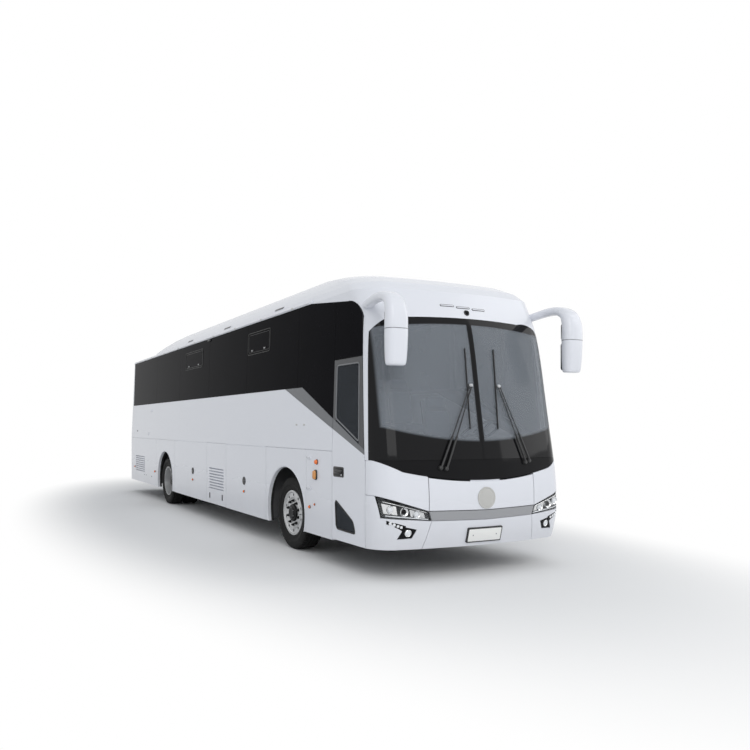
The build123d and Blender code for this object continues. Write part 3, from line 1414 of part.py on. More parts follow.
# side profile of the dashboard, ahead of the corner seam and up
DASH_PROFILE = (
    (60.0, PLATFORM_Z),
    (60.0, 1300.0),
    (-60.0, 1380.0),
    (-260.0, 1330.0),
    (-330.0, 1180.0),
    (-230.0, PLATFORM_Z),
)
COLUMN_LENGTH = 420.0
COLUMN_RADIUS = 38.0
SHAFT = 14.0
HUB_THICK = 40.0
WHEEL_HUB = 62.0
SHAFT_BORE = 60.0
SHAFT_IN = 55.0  # shaft's end inside its bore
SHAFT_LENGTH = 58.0
SPOKES = 3
SPOKE_START = 30.0
SPOKE_WIDTH = 36.0
SPOKE_THICK = 12.0
column_plane = Plane(origin=wheel_centre, x_dir=(0, 1, 0), z_dir=column_dir)
with BuildPart() as dashboard:
    with BuildSketch(Plane.XZ.offset(-DASH_LEFT)):
        with BuildLine():
            Polyline(*[(X_CORNER + ahead, z) for ahead, z in DASH_PROFILE], close=True)
        make_face()
    extrude(amount=DASH_LEFT - DASH_RIGHT)
    with BuildSketch(column_plane.offset(-HUB_THICK - COLUMN_LENGTH)):
        Circle(COLUMN_RADIUS)
    extrude(amount=COLUMN_LENGTH)
    with BuildSketch(column_plane.offset(-HUB_THICK - SHAFT_BORE)):
        Circle(SHAFT + FIT)
    extrude(amount=SHAFT_BORE, mode=Mode.SUBTRACT)
keep(dashboard.part, "dashboard")
with BuildPart() as steering_wheel:
    with BuildSketch(Plane(origin=wheel_centre, x_dir=column_dir, z_dir=(0, 1, 0))):
        with Locations((0, WHEEL_RING)):
            RegularPolygon(RING_SECTION, RING_SIDES)
    revolve(axis=Axis(wheel_centre, column_dir))
    with BuildSketch(column_plane.offset(-HUB_THICK + FIT)):
        Circle(WHEEL_HUB)
    extrude(amount=HUB_THICK)
    with BuildSketch(column_plane.offset(-HUB_THICK / 2)):
        with PolarLocations(WHEEL_RING / 2, SPOKES, start_angle=SPOKE_START):
            Rectangle(WHEEL_RING, SPOKE_WIDTH)
    extrude(amount=SPOKE_THICK)
    with BuildSketch(column_plane.offset(-HUB_THICK - SHAFT_IN)):
        Circle(SHAFT)
    extrude(amount=SHAFT_LENGTH)
keep(steering_wheel.part, "steering_wheel")


# Mirrors and wipers

# distance ahead of the corner seam, distance out, height, pitch of the run, width, depth
MIRROR_SECTIONS = (
    (-150.0, 1140.0, 2990.0, 25.0, 110.0, 90.0),
    (110.0, 1165.0, 3085.0, 10.0, 125.0, 100.0),
    (330.0, 1175.0, 3070.0, -30.0, 170.0, 115.0),
    (440.0, 1175.0, 2950.0, -75.0, 225.0, 135.0),
    (465.0, 1175.0, 2700.0, -90.0, 250.0, 150.0),
    (465.0, 1175.0, 2300.0, -90.0, 235.0, 130.0),
    (465.0, 1175.0, 2240.0, -90.0, 175.0, 80.0),
)
MIRROR_ROUND = 0.4  # corner radius as a share of the section's depth


def mirror_section(ahead, out, z, pitch, width, depth):
    """One section of a mirror's arm and head, square to its run."""
    along = (cos(radians(pitch)), 0, sin(radians(pitch)))
    with BuildSketch(Plane(origin=(X_CORNER + ahead, -out, z), x_dir=(0, 1, 0), z_dir=along)) as section:
        RectangleRounded(width, depth, depth * MIRROR_ROUND)
    return section.sketch


mirror_run = [mirror_section(*row) for row in MIRROR_SECTIONS]
with BuildPart() as right_mirror:
    loft(mirror_run)
    add(roof_cap.part, mode=Mode.SUBTRACT)
    add(nose_cavity, mode=Mode.SUBTRACT)
keep(both_sides(right_mirror.part), "mirrors")

WIPER_STAND = 14.0  # arms off the glass
WIPER_HEIGHT = 40.0
WIPER_BAR = 18.0
WIPER_BLADE = 26.0
WIPER_KNOT = 32.0
PIVOT_RADIUS = 24.0
ARM_SPREAD = 20.0  # half the distance between the two arms at the blade
# lower ends of the two arms, knot on the blade, blade's top and bottom, left of the middle and up
WIPERS = (
    ((-572.0, 1187.0), (-505.0, 1176.0), (-92.0, 2076.0), (-114.0, 2490.0), (-151.0, 1596.0)),
    ((593.0, 1222.0), (655.0, 1236.0), (303.0, 2075.0), (292.0, 2493.0), (235.0, 1595.0)),
)
outer_air = nose_form(-WIPER_HEIGHT)
arm_layer = between(outer_air, nose_form(-WIPER_STAND))
pivot_layer = between(outer_air, nose_solid)
with BuildSketch() as wiper_arms:
    for first, second, knot, _, _ in WIPERS:
        for foot, shift in ((first, -ARM_SPREAD), (second, ARM_SPREAD)):
            with BuildLine():
                Line(foot, (knot[0] + shift, knot[1]))
            trace(line_width=WIPER_BAR)
        with Locations(knot):
            Circle(WIPER_KNOT)
with BuildSketch() as wiper_blades:
    for first, second, _, top, bottom in WIPERS:
        with BuildLine():
            Line(top, bottom)
        trace(line_width=WIPER_BLADE)
        with Locations(first, second):
            Circle(PIVOT_RADIUS)
arms = nose_cut(arm_layer, wiper_arms.sketch)
blades = nose_cut(pivot_layer, wiper_blades.sketch)
with BuildPart() as wipers:
    add(arms)
    add(blades)
keep(wipers.part, "wipers")
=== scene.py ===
"""Electric coach: finishes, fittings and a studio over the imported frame, laid out as an add-on."""

import json
from math import asin, cos, pi, radians, sin

import bmesh
import bpy
from bpy.props import FloatProperty, FloatVectorProperty, IntProperty, PointerProperty
from mathutils import Matrix, Vector
from mathutils.bvhtree import BVHTree

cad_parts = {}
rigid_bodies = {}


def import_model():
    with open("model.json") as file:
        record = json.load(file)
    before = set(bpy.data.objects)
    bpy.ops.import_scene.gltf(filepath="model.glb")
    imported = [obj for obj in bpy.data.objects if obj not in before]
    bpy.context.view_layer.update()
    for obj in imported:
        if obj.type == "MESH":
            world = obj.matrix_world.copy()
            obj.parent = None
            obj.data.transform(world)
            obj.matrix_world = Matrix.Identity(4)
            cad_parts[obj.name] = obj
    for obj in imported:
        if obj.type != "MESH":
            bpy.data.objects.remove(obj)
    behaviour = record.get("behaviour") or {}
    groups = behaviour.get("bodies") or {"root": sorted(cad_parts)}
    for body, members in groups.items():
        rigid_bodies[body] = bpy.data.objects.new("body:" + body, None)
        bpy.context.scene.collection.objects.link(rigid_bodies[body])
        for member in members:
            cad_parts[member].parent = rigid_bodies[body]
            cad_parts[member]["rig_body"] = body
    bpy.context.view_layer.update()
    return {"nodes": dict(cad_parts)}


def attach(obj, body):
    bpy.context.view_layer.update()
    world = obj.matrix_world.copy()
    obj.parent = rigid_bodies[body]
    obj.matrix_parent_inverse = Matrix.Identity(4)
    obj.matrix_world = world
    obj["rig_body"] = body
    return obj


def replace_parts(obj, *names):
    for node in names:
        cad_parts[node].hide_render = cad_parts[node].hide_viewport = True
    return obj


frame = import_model()

bl_info = {
    "name": "Electric coach",
    "version": (1, 0, 0),
    "blender": (4, 5, 0),
    "location": "View3D > Sidebar > Coach",
    "description": "Finishes, fittings and a studio for a two-axle electric coach",
    "category": "Object",
}

X_CORNER = 5.52  # front corner seam
HALF = 1.275  # half the body's width
BELT_Z = 2.12  # where the slanted side lines end
SIDES = {"right": -1, "left": 1}
FAR = 4.0  # rays that seat the fittings start this far out
GLASS_SHINE = 0.008  # specular levels of the side glass, the windscreen and paint
SCREEN_SHINE = 0.15
PAINT_SHINE = 0.25
PAINT_COAT = 0.22
PAINT_COAT_ROUGH = 0.04
DUST = (0.34, 0.32, 0.29, 1)
DUST_HEIGHTS = (0.30, 1.05)  # dust fades out between these

# slanted side lines, each through two points: distance behind the seam, height
STRIPE_LOW = ((0.09, 1.346), (2.13, BELT_Z))
STRIPE_HIGH = ((0.03, 1.376), (1.605, BELT_Z))
STRIPE_BLUR = 0.002
PRINT_FOOT_Z = 1.475  # dark print on the windscreen
PRINT_RISE = 0.11  # how it climbs towards the sides
PRINT_TOP_Z = 2.768
PRINT_FALL = 0.05  # how its upper band drops towards the sides
PRINT_EDGE = 1.19
PRINT_MIDDLE = 0.03


def colour(name, default, words):
    """A colour that a user may change."""
    return FloatVectorProperty(
        name=name, description=words, default=default, subtype="COLOR", size=3, min=0, max=1
    )


def length(name, default, words):
    """A size in metres that a user may change."""
    return FloatProperty(name=name, description=words, default=default, unit="LENGTH")


class CoachColours(bpy.types.PropertyGroup):
    """Colours of the coach's finishes."""

    body: colour("Body", (0.77, 0.785, 0.835), "Painted panels")
    stripe: colour("Stripe", (0.14, 0.147, 0.157), "Slanted side stripe")
    front_strip: colour("Front strip", (0.34, 0.345, 0.36), "Strip between the headlamps")
    band: colour("Glass band", (0.005, 0.005, 0.0065), "Tinted side glass")
    screen: colour("Windscreen", (0.33, 0.36, 0.40), "Lightly tinted windscreen")
    gloss_black: colour("Gloss black", (0.008, 0.008, 0.009), "Lower screen panel and lamp bezels")
    frame_grey: colour("Window frame", (0.045, 0.047, 0.052), "Door window frame")
    rubber: colour("Rubber", (0.009, 0.009, 0.009), "Tyres and seals")
    alloy: colour("Alloy", (0.60, 0.605, 0.61), "Wheel discs")
    chassis: colour("Chassis", (0.022, 0.022, 0.024), "Axles and underframe")
    amber: colour("Amber", (0.85, 0.17, 0.015), "Side marker lenses")
    red: colour("Red", (0.55, 0.012, 0.01), "Tail lamp lenses")
    cloth: colour("Seat cloth", (0.055, 0.065, 0.10), "Seat covers")
    trim: colour("Cabin trim", (0.07, 0.072, 0.078), "Dashboard and seat shells")
    floor: colour("Studio floor", (0.90, 0.90, 0.90), "Floor under the coach")


class CoachSizes(bpy.types.PropertyGroup):
    """Sizes of the small fittings."""

    lock_radius: length("Lock radius", 0.062, "Round lock of a luggage flap")
    marker_radius: length("Marker radius", 0.024, "Round side marker lens")
    nut_radius: length("Nut radius", 0.017, "Wheel nut across its corners, halved")
    nuts: IntProperty(name="Nuts", description="Nuts on each wheel", default=10, min=3)
    tread_pitches: IntProperty(
        name="Tread pitches", description="Tread blocks round a tyre", default=64, min=8
    )
    tread_depth: length("Tread depth", 0.012, "Depth of the tread grooves")
    seal: length("Seal", 0.016, "Width of the rubber seals")


class CoachStudio(bpy.types.PropertyGroup):
    """Camera and light."""

    eye: FloatVectorProperty(
        name="Eye", description="Camera position", default=(12.136, -5.205, 1.64),
        subtype="TRANSLATION", unit="LENGTH",
    )
    heading: FloatProperty(
        name="Heading", description="Camera heading", default=radians(64.9), subtype="ANGLE"
    )
    lens: FloatProperty(name="Lens", description="Focal length in millimetres", default=34.56)
    shift: FloatVectorProperty(name="Shift", description="Lens shift", default=(0.107, 0.067), size=2)
    key_power: FloatProperty(name="Key", description="Key light in watts", default=690.0)
    fill_power: FloatProperty(name="Fill", description="Fill light in watts", default=430.0)
    roof_power: FloatProperty(name="Roof", description="Roof light in watts", default=130.0)
    sky: FloatProperty(name="Sky", description="Strength of the even light", default=0.58)


# Shader building


class Value:
    """A shader socket that can stand in a sum."""

    def __init__(self, finish, socket):
        self.finish = finish
        self.socket = socket

    def output(self, name):
        """Another output of the same node."""
        return Value(self.finish, self.socket.node.outputs[name])

    def sum(self, operation, first, second):
        """A Math node on two numbers."""
        return self.finish.node("ShaderNodeMath", {"operation": operation}, {0: first, 1: second})

    def __add__(self, other):
        return self.sum("ADD", self, other)

    def __radd__(self, other):
        return self.sum("ADD", other, self)

    def __sub__(self, other):
        return self.sum("SUBTRACT", self, other)

    def __rsub__(self, other):
        return self.sum("SUBTRACT", other, self)

    def __mul__(self, other):
        return self.sum("MULTIPLY", self, other)

    def __rmul__(self, other):
        return self.sum("MULTIPLY", other, self)

    def __truediv__(self, other):
        return self.sum("DIVIDE", self, other)

    def __abs__(self):
        return self.sum("ABSOLUTE", self, 0.0)

    def high(self, other):
        """The larger of two numbers."""
        return self.sum("MAXIMUM", self, other)

    def low(self, other):
        """The smaller of two numbers."""
        return self.sum("MINIMUM", self, other)


class Finish:
    """A material being built from nodes."""

    def __init__(self, name):
        self.material = bpy.data.materials.new(name)
        self.material.use_nodes = True
        self.tree = self.material.node_tree
        self.tree.nodes.clear()

    def node(self, kind, settings=None, sockets=None, output=0):
        """Add a node, set it up, feed its sockets and give one of its outputs."""
        made = self.tree.nodes.new(kind)
        for name, setting in (settings or {}).items():
            setattr(made, name, setting)
        for name, fed in (sockets or {}).items():
            if isinstance(fed, Value):
                self.tree.links.new(fed.socket, made.inputs[name])
            else:
                made.inputs[name].default_value = fed
        return Value(self, made.outputs[output]) if made.outputs else None

    def point(self):
        """The point on the piece."""
        return self.node("ShaderNodeTexCoord", output="Object")

    def place(self):
        """The point on the piece, and its three coordinates."""
        point = self.point()
        x = self.node("ShaderNodeSeparateXYZ", sockets={"Vector": point})
        return point, x, x.output("Y"), x.output("Z")

    def noise(self, point, scale, detail):
        """Even mottling between 0 and 1."""
        sockets = {"Vector": point, "Scale": scale, "Detail": detail}
        return self.node("ShaderNodeTexNoise", sockets=sockets, output="Fac")

    def waves(self, point, direction, scale):
        """Even bands across one direction, between 0 and 1."""
        sockets = {"Vector": point, "Scale": scale}
        return self.node("ShaderNodeTexWave", {"bands_direction": direction}, sockets, output="Fac")

    def seen(self):
        """1 for what the camera, gloss and glass see, 0 for the light that falls on pieces."""
        ray = self.node("ShaderNodeLightPath", output="Is Camera Ray")
        return (ray + ray.output("Is Glossy Ray") + ray.output("Is Transmission Ray")).low(1.0)

    def step(self, value, low, high):
        """0 below one value, 1 above another, and smooth between."""
        settings = {"interpolation_type": "SMOOTHSTEP"}
        sockets = {"Value": value, "From Min": low, "From Max": high}
        return self.node("ShaderNodeMapRange", settings, sockets)

    def mix(self, factor, first, second):
        """One colour fading into another."""
        settings = {"data_type": "RGBA"}
        return self.node("ShaderNodeMix", settings, {0: factor, 6: first, 7: second}, output=2)

    def bump(self, height, strength, distance):
        """A bumpy normal."""
        sockets = {"Height": height, "Strength": strength, "Distance": distance}
        return self.node("ShaderNodeBump", sockets=sockets)

    def close(self, sockets):
        """End the material in one principled shader."""
        shader = self.node("ShaderNodeBsdfPrincipled", sockets=sockets)
        self.node("ShaderNodeOutputMaterial", sockets={"Surface": shader})
        return self.material


def rgba(tint, share=1.0):
    """A colour property as four numbers, dimmed by a share."""
    return (*[part * share for part in tint], 1.0)


def coated(finish, point, base, rough):
    """Close a finish as clear-coated paint with a faint orange peel."""
    peel = finish.noise(point, 420.0, 2.0)
    return finish.close({
        "Base Color": base,
        "Roughness": rough,
        "Specular IOR Level": PAINT_SHINE,
        "Coat Weight": PAINT_COAT,
        "Coat Roughness": PAINT_COAT_ROUGH,
        "Normal": finish.bump(peel, 0.05, 0.0004),
    })


def painted(name, tint, dust=0.10, rough=0.22):
    """Two-coat vehicle paint with road dust low down."""
    finish = Finish(name)
    point, x, y, z = finish.place()
    cloud = finish.noise(point, 1.6, 4.0)
    low = 1 - finish.step(z, *DUST_HEIGHTS)
    soiled = finish.mix(low * cloud * dust * 2, rgba(tint), DUST)
    return coated(finish, point, soiled, rough + low * 0.10 + cloud * 0.06)


def tinted(name, tint, alpha, rough=0.04):
    """Tinted glass that lets some of the cabin show."""
    finish = Finish(name)
    point = finish.point()
    film = finish.noise(point, 2.2, 3.0)
    return finish.close({
        "Base Color": finish.mix(film, rgba(tint, 0.8), rgba(tint, 1.2)),
        "Roughness": rough + film * 0.04,
        "Alpha": alpha + film * 0.03,
        "Specular IOR Level": GLASS_SHINE,
    })


def plain(name, tint, rough=0.5, metallic=0.0, grain=160.0, depth=0.25, spread=0.12, shine=0.5):
    """A moulded, cast or rubber surface with a fine grain and uneven gloss."""
    finish = Finish(name)
    point = finish.point()
    grit = finish.noise(point, grain, 4.0)
    patch = finish.noise(point, 5.0, 3.0)
    return finish.close({
        "Base Color": finish.mix(patch, rgba(tint, 0.85), rgba(tint, 1.12)),
        "Roughness": rough + (patch - 0.5) * spread,
        "Metallic": metallic,
        "Specular IOR Level": shine,
        "Normal": finish.bump(grit, depth, 0.0006),
    })


def line_height(x, line):
    """Height of a slanted side line, from two of its points."""
    (back_a, z_a), (back_b, z_b) = line
    slope = (z_b - z_a) / (back_b - back_a)
    return (X_CORNER - x - back_a) * slope + z_a


def door_paint(colours):
    """The passenger door: white below, a silver stripe across it and a dark window frame above."""
    finish = Finish("door_paint")
    point, x, y, z = finish.place()
    above_low = finish.step(z - line_height(x, STRIPE_LOW), -STRIPE_BLUR, STRIPE_BLUR)
    above_high = finish.step(z - line_height(x, STRIPE_HIGH), -STRIPE_BLUR, STRIPE_BLUR)
    lower = finish.mix(above_low, rgba(colours.body), rgba(colours.stripe))
    base = finish.mix(above_high, lower, rgba(colours.frame_grey))
    cloud = finish.noise(point, 1.6, 4.0)
    return coated(finish, point, base, 0.22 + cloud * 0.06 + above_low * 0.10)


def screen_glass(colours):
    """Windscreen with a dark printed border that is deep at the foot of the glass."""
    finish = Finish("screen_glass")
    point, x, y, z = finish.place()
    across = abs(y)
    bow = across * across
    foot = 1 - finish.step(z - bow * PRINT_RISE, PRINT_FOOT_Z - 0.02, PRINT_FOOT_Z + 0.03)
    brow = finish.step(z + bow * PRINT_FALL, PRINT_TOP_Z - 0.02, PRINT_TOP_Z + 0.005)
    edge = finish.step(across, PRINT_EDGE - 0.05, PRINT_EDGE)
    middle = 1 - finish.step(across, PRINT_MIDDLE, PRINT_MIDDLE + 0.015)
    printed = foot.high(brow).high(edge).high(middle)
    haze = finish.noise(point, 1.1, 4.0)
    return finish.close({
        "Base Color": finish.mix(printed, rgba(colours.screen), rgba(colours.gloss_black)),
        "Roughness": 0.03 + haze * 0.05,
        "Alpha": 0.30 + haze * 0.12 + printed * 0.7,
        "Specular IOR Level": SCREEN_SHINE,
    })


def cloth(name, tint):
    """Woven seat cloth with a fine check and a soft sheen."""
    finish = Finish(name)
    point = finish.point()
    warp = finish.waves(point, "X", 160.0)
    weft = finish.waves(point, "Z", 160.0)
    fleck = finish.noise(point, 90.0, 2.0)
    return finish.close({
        "Base Color": finish.mix(fleck, rgba(tint, 0.7), rgba(tint, 1.5)),
        "Roughness": 0.85 + fleck * 0.1,
        "Sheen Weight": 0.3,
        "Normal": finish.bump(warp * weft, 0.4, 0.0008),
    })


def brushed(name, tint, rough=0.22, metallic=0.9):
    """Bright machined alloy with turned marks and a little brake dust."""
    finish = Finish(name)
    point = finish.point()
    dust = finish.noise(point, 9.0, 4.0)
    marks = finish.noise(point, 260.0, 2.0)
    return finish.close({
        "Base Color": finish.mix(dust * 0.5, rgba(tint), rgba(tint, 0.55)),
        "Metallic": metallic,
        "Roughness": rough + dust * 0.14,
        "Normal": finish.bump(marks, 0.08, 0.0004),
    })


def lens(name, tint, alpha=1.0, glow=0.0):
    """A moulded lamp lens with fine ribs."""
    finish = Finish(name)
    point = finish.point()
    ribs = finish.waves(point, "Z", 55.0)
    patch = finish.noise(point, 30.0, 2.0)
    return finish.close({
        "Base Color": finish.mix(patch, rgba(tint, 0.85), rgba(tint, 1.1)),
        "Roughness": 0.06 + patch * 0.05,
        "Alpha": alpha,
        "Coat Weight": 0.4,
        "Emission Color": rgba(tint),
        "Emission Strength": glow,
        "Normal": finish.bump(ribs, 0.15, 0.0006),
    })


FINISHES = {}


def make_finishes(colours):
    """Every finish, by the name that the pieces use."""
    FINISHES.update(
        body=painted("body_paint", colours.body),
        stripe=painted("stripe_paint", colours.stripe, dust=0.02, rough=0.34),
        front_strip=painted("front_strip_paint", colours.front_strip, dust=0.02, rough=0.30),
        door=door_paint(colours),
        band=tinted("band_glass", colours.band, 0.975),
        door_pane=tinted("door_pane_glass", (0.05, 0.055, 0.062), 0.72),
        screen=screen_glass(colours),
        gloss_black=plain(
            "gloss_black", colours.gloss_black, rough=0.08, grain=300.0, depth=0.02, spread=0.05, shine=0.1
        ),
        frame=plain("window_frame_black", colours.gloss_black, rough=0.35),
        door_frame=plain("door_frame_grey", (0.16, 0.165, 0.175), rough=0.35),
        rubber=plain("tyre_rubber", colours.rubber, rough=0.78, grain=320.0, depth=0.35, shine=0.25),
        seal=plain("seal_rubber", colours.rubber, rough=0.6, grain=260.0),
        alloy=brushed("wheel_alloy", colours.alloy, rough=0.3, metallic=0.55),
        chrome=brushed("bright_metal", (0.86, 0.87, 0.88), rough=0.08),
        steel=brushed("wheel_nut_steel", (0.42, 0.43, 0.45), rough=0.3),
        hub=plain("hub_black", (0.007, 0.007, 0.008), rough=0.42, shine=0.2),
        chassis=plain("chassis_black", colours.chassis, rough=0.5, grain=90.0),
        housing=plain("housing_grey", (0.10, 0.10, 0.105), rough=0.7, grain=60.0),
        floor=plain("cabin_floor", (0.13, 0.13, 0.14), rough=0.6, grain=420.0),
        amber=lens("amber_lens", colours.amber, glow=0.05),
        pale_amber=lens("pale_amber_lens", (0.62, 0.27, 0.07), glow=0.05),
        red=lens("red_lens", colours.red),
        clear=lens("clear_lens", (0.55, 0.58, 0.60), alpha=0.07),
        bright=lens("bright_lens", (0.72, 0.74, 0.77), glow=0.12),
        cloth=cloth("seat_cloth", colours.cloth),
        trim=plain("cabin_trim", colours.trim, rough=0.55, grain=240.0),
        dark_trim=plain("dark_trim", (0.02, 0.02, 0.021), rough=0.45, grain=240.0),
        mirror_glass=brushed("mirror_glass", (0.75, 0.78, 0.80), rough=0.02),
        plate=painted("blank_plate", (0.85, 0.85, 0.83), dust=0.0, rough=0.4),
        badge=painted("blank_badge", (0.53, 0.525, 0.505), dust=0.0, rough=0.45),
        battery=plain("battery_case", (0.19, 0.21, 0.23), rough=0.5),
    )


NODE_FINISHES = {
    "body": (
        "waist_panels", "entry_panels", "arch_panels", "service_panels",
        "luggage_flap_front_right", "luggage_flap_front_left",
        "luggage_flap_rear_right", "luggage_flap_rear_left",
        "front_flap", "front_corners", "bumper_middle", "bumper_corners", "mirrors",
        "roof_cap", "roof_panel", "roof_pod", "rear_wall", "motor_door", "rear_bumper",
    ),
    "stripe": ("side_stripes",),
    "front_strip": ("front_strip",),
    "door": ("passenger_door",),
    "band": ("side_glass", "rear_window"),
    "door_pane": ("door_glass",),
    "screen": ("windscreen",),
    "gloss_black": ("wiper_panel", "screen_divider", "fog_lamps", "headlamps"),
    "frame": ("window_frames",),
    "red": ("tail_lamps",),
    "alloy": ("rim_front_right", "rim_front_left", "rims_rear_right", "rims_rear_left"),
    "rubber": ("tyre_front_right", "tyre_front_left", "tyres_rear_right", "tyres_rear_left"),
    "chassis": (
        "door_arm", "underframe", "front_axle", "rear_axle", "knuckle_right", "knuckle_left", "track_rod",
    ),
    "seal": ("air_springs",),
    "housing": ("wheel_housings", "luggage_bay"),
    "floor": ("floor_deck", "entrance_steps"),
    "battery": ("battery_pack", "traction_motor"),
    "cloth": ("seats_right", "seats_left", "driver_seat"),
    "trim": ("dashboard",),
    "dark_trim": ("steering_wheel", "wipers"),
}


class COACH_OT_finishes(bpy.types.Operator):
    """Paint, glaze and finish the solid pieces"""

    bl_idname = "coach.finishes"
    bl_label = "Finishes"

    def execute(self, context):
        make_finishes(context.scene.coach_colours)
        for name, nodes in NODE_FINISHES.items():
            for node in nodes:
                slots = frame["nodes"][node].data.materials
                slots.clear()
                slots.append(FINISHES[name])
        return {"FINISHED"}


# Mesh building


LEVEL = 0.9  # a normal that rises more than this belongs to a level surface


class Skin:
    """The coach's solid pieces at rest, to seat fittings on."""

    def __init__(self, nodes):
        points = []
        faces = []
        self.owners = []
        for name, node in nodes.items():
            start = len(points)
            points.extend(vertex.co.copy() for vertex in node.data.vertices)
            for face in node.data.polygons:
                faces.append([start + corner for corner in face.vertices])
                self.owners.append(name)
        self.tree = BVHTree.FromPolygons(points, faces)

    def hit(self, start, direction):
        """The first piece that a ray meets: its name, the point and the outward normal."""
        direction = Vector(direction)
        point, normal, face, distance = self.tree.ray_cast(Vector(start), direction)
        if point is None:
            raise RuntimeError(f"nothing to sit on from {tuple(start)}")
        if normal.dot(direction) > 0:
            normal = -normal
        return self.owners[face], point, normal

    def seat(self, start, direction):
        """The piece met, and a frame there: across, up and out of the surface."""
        owner, point, out = self.hit(start, direction)
        upright = Vector((0, 0, 1)) if abs(out.z) < LEVEL else Vector((1, 0, 0))
        across = upright.cross(out).normalized()
        up = out.cross(across)
        return owner, Matrix.Translation(point) @ Matrix((across, up, out)).transposed().to_4x4()

    def side(self, back, z, side):
        """A seat on the side of the coach, at a distance behind the corner seam."""
        return self.seat((X_CORNER - back, side * FAR, z), (0, -side, 0))

    def front(self, y, z):
        """A seat on the front of the coach."""
        return self.seat((FAR * 3, y, z), (-1, 0, 0))

    def front_point(self, y, z):
        """The point of the front's surface at a distance across and a height."""
        owner, point, out = self.hit((FAR * 3, y, z), (-1, 0, 0))
        return point

    def rear(self, y, z):
        """A seat on the tail of the coach."""
        return self.seat((-FAR * 3, y, z), (1, 0, 0))

    def top(self, x, y):
        """A seat on the roof."""
        return self.seat((x, y, FAR * 2), (0, 0, -1))


CORNER_STEPS = 4
HOLE_STEPS = 24
SHARP = radians(38)  # edges that bend more than this stay sharp
WELD = 0.00005  # points closer than this are joined


def spread(start, end, steps):
    """Evenly spread numbers, both ends among them."""
    return [start + (end - start) * step / steps for step in range(steps + 1)]


def scaled(profile, radius):
    """A profile whose radii were given as shares of one radius."""
    return [(share * radius, height) for share, height in profile]


def rounded(width, height, radius):
    """Points round a rounded rectangle."""
    points = []
    for corner, (across, up) in enumerate(((1, 1), (-1, 1), (-1, -1), (1, -1))):
        for share in spread(0, 1, CORNER_STEPS):
            angle = (corner + share) * pi / 2
            points.append((
                across * (width / 2 - radius) + radius * cos(angle),
                up * (height / 2 - radius) + radius * sin(angle),
            ))
    return points


def circle(radius, count):
    """Points round a circle."""
    return [(radius * cos(2 * pi * i / count), radius * sin(2 * pi * i / count)) for i in range(count)]


def axle_frame(centre, out):
    """A frame whose third axis is a wheel's outward axis."""
    out = Vector(out).normalized()
    up = Vector((0, 0, 1))
    return Matrix.Translation(Vector(centre)) @ Matrix((up.cross(out), up, out)).transposed().to_4x4()


def moved(seat, across, up, out):
    """A frame moved along its own axes."""
    return seat @ Matrix.Translation((across, up, out))


def rings(seat, profile, count):
    """Circles about a frame's third axis, from radii and heights."""
    return [
        [seat @ Vector((across, up, height)) for across, up in circle(radius, count)]
        for radius, height in profile
    ]


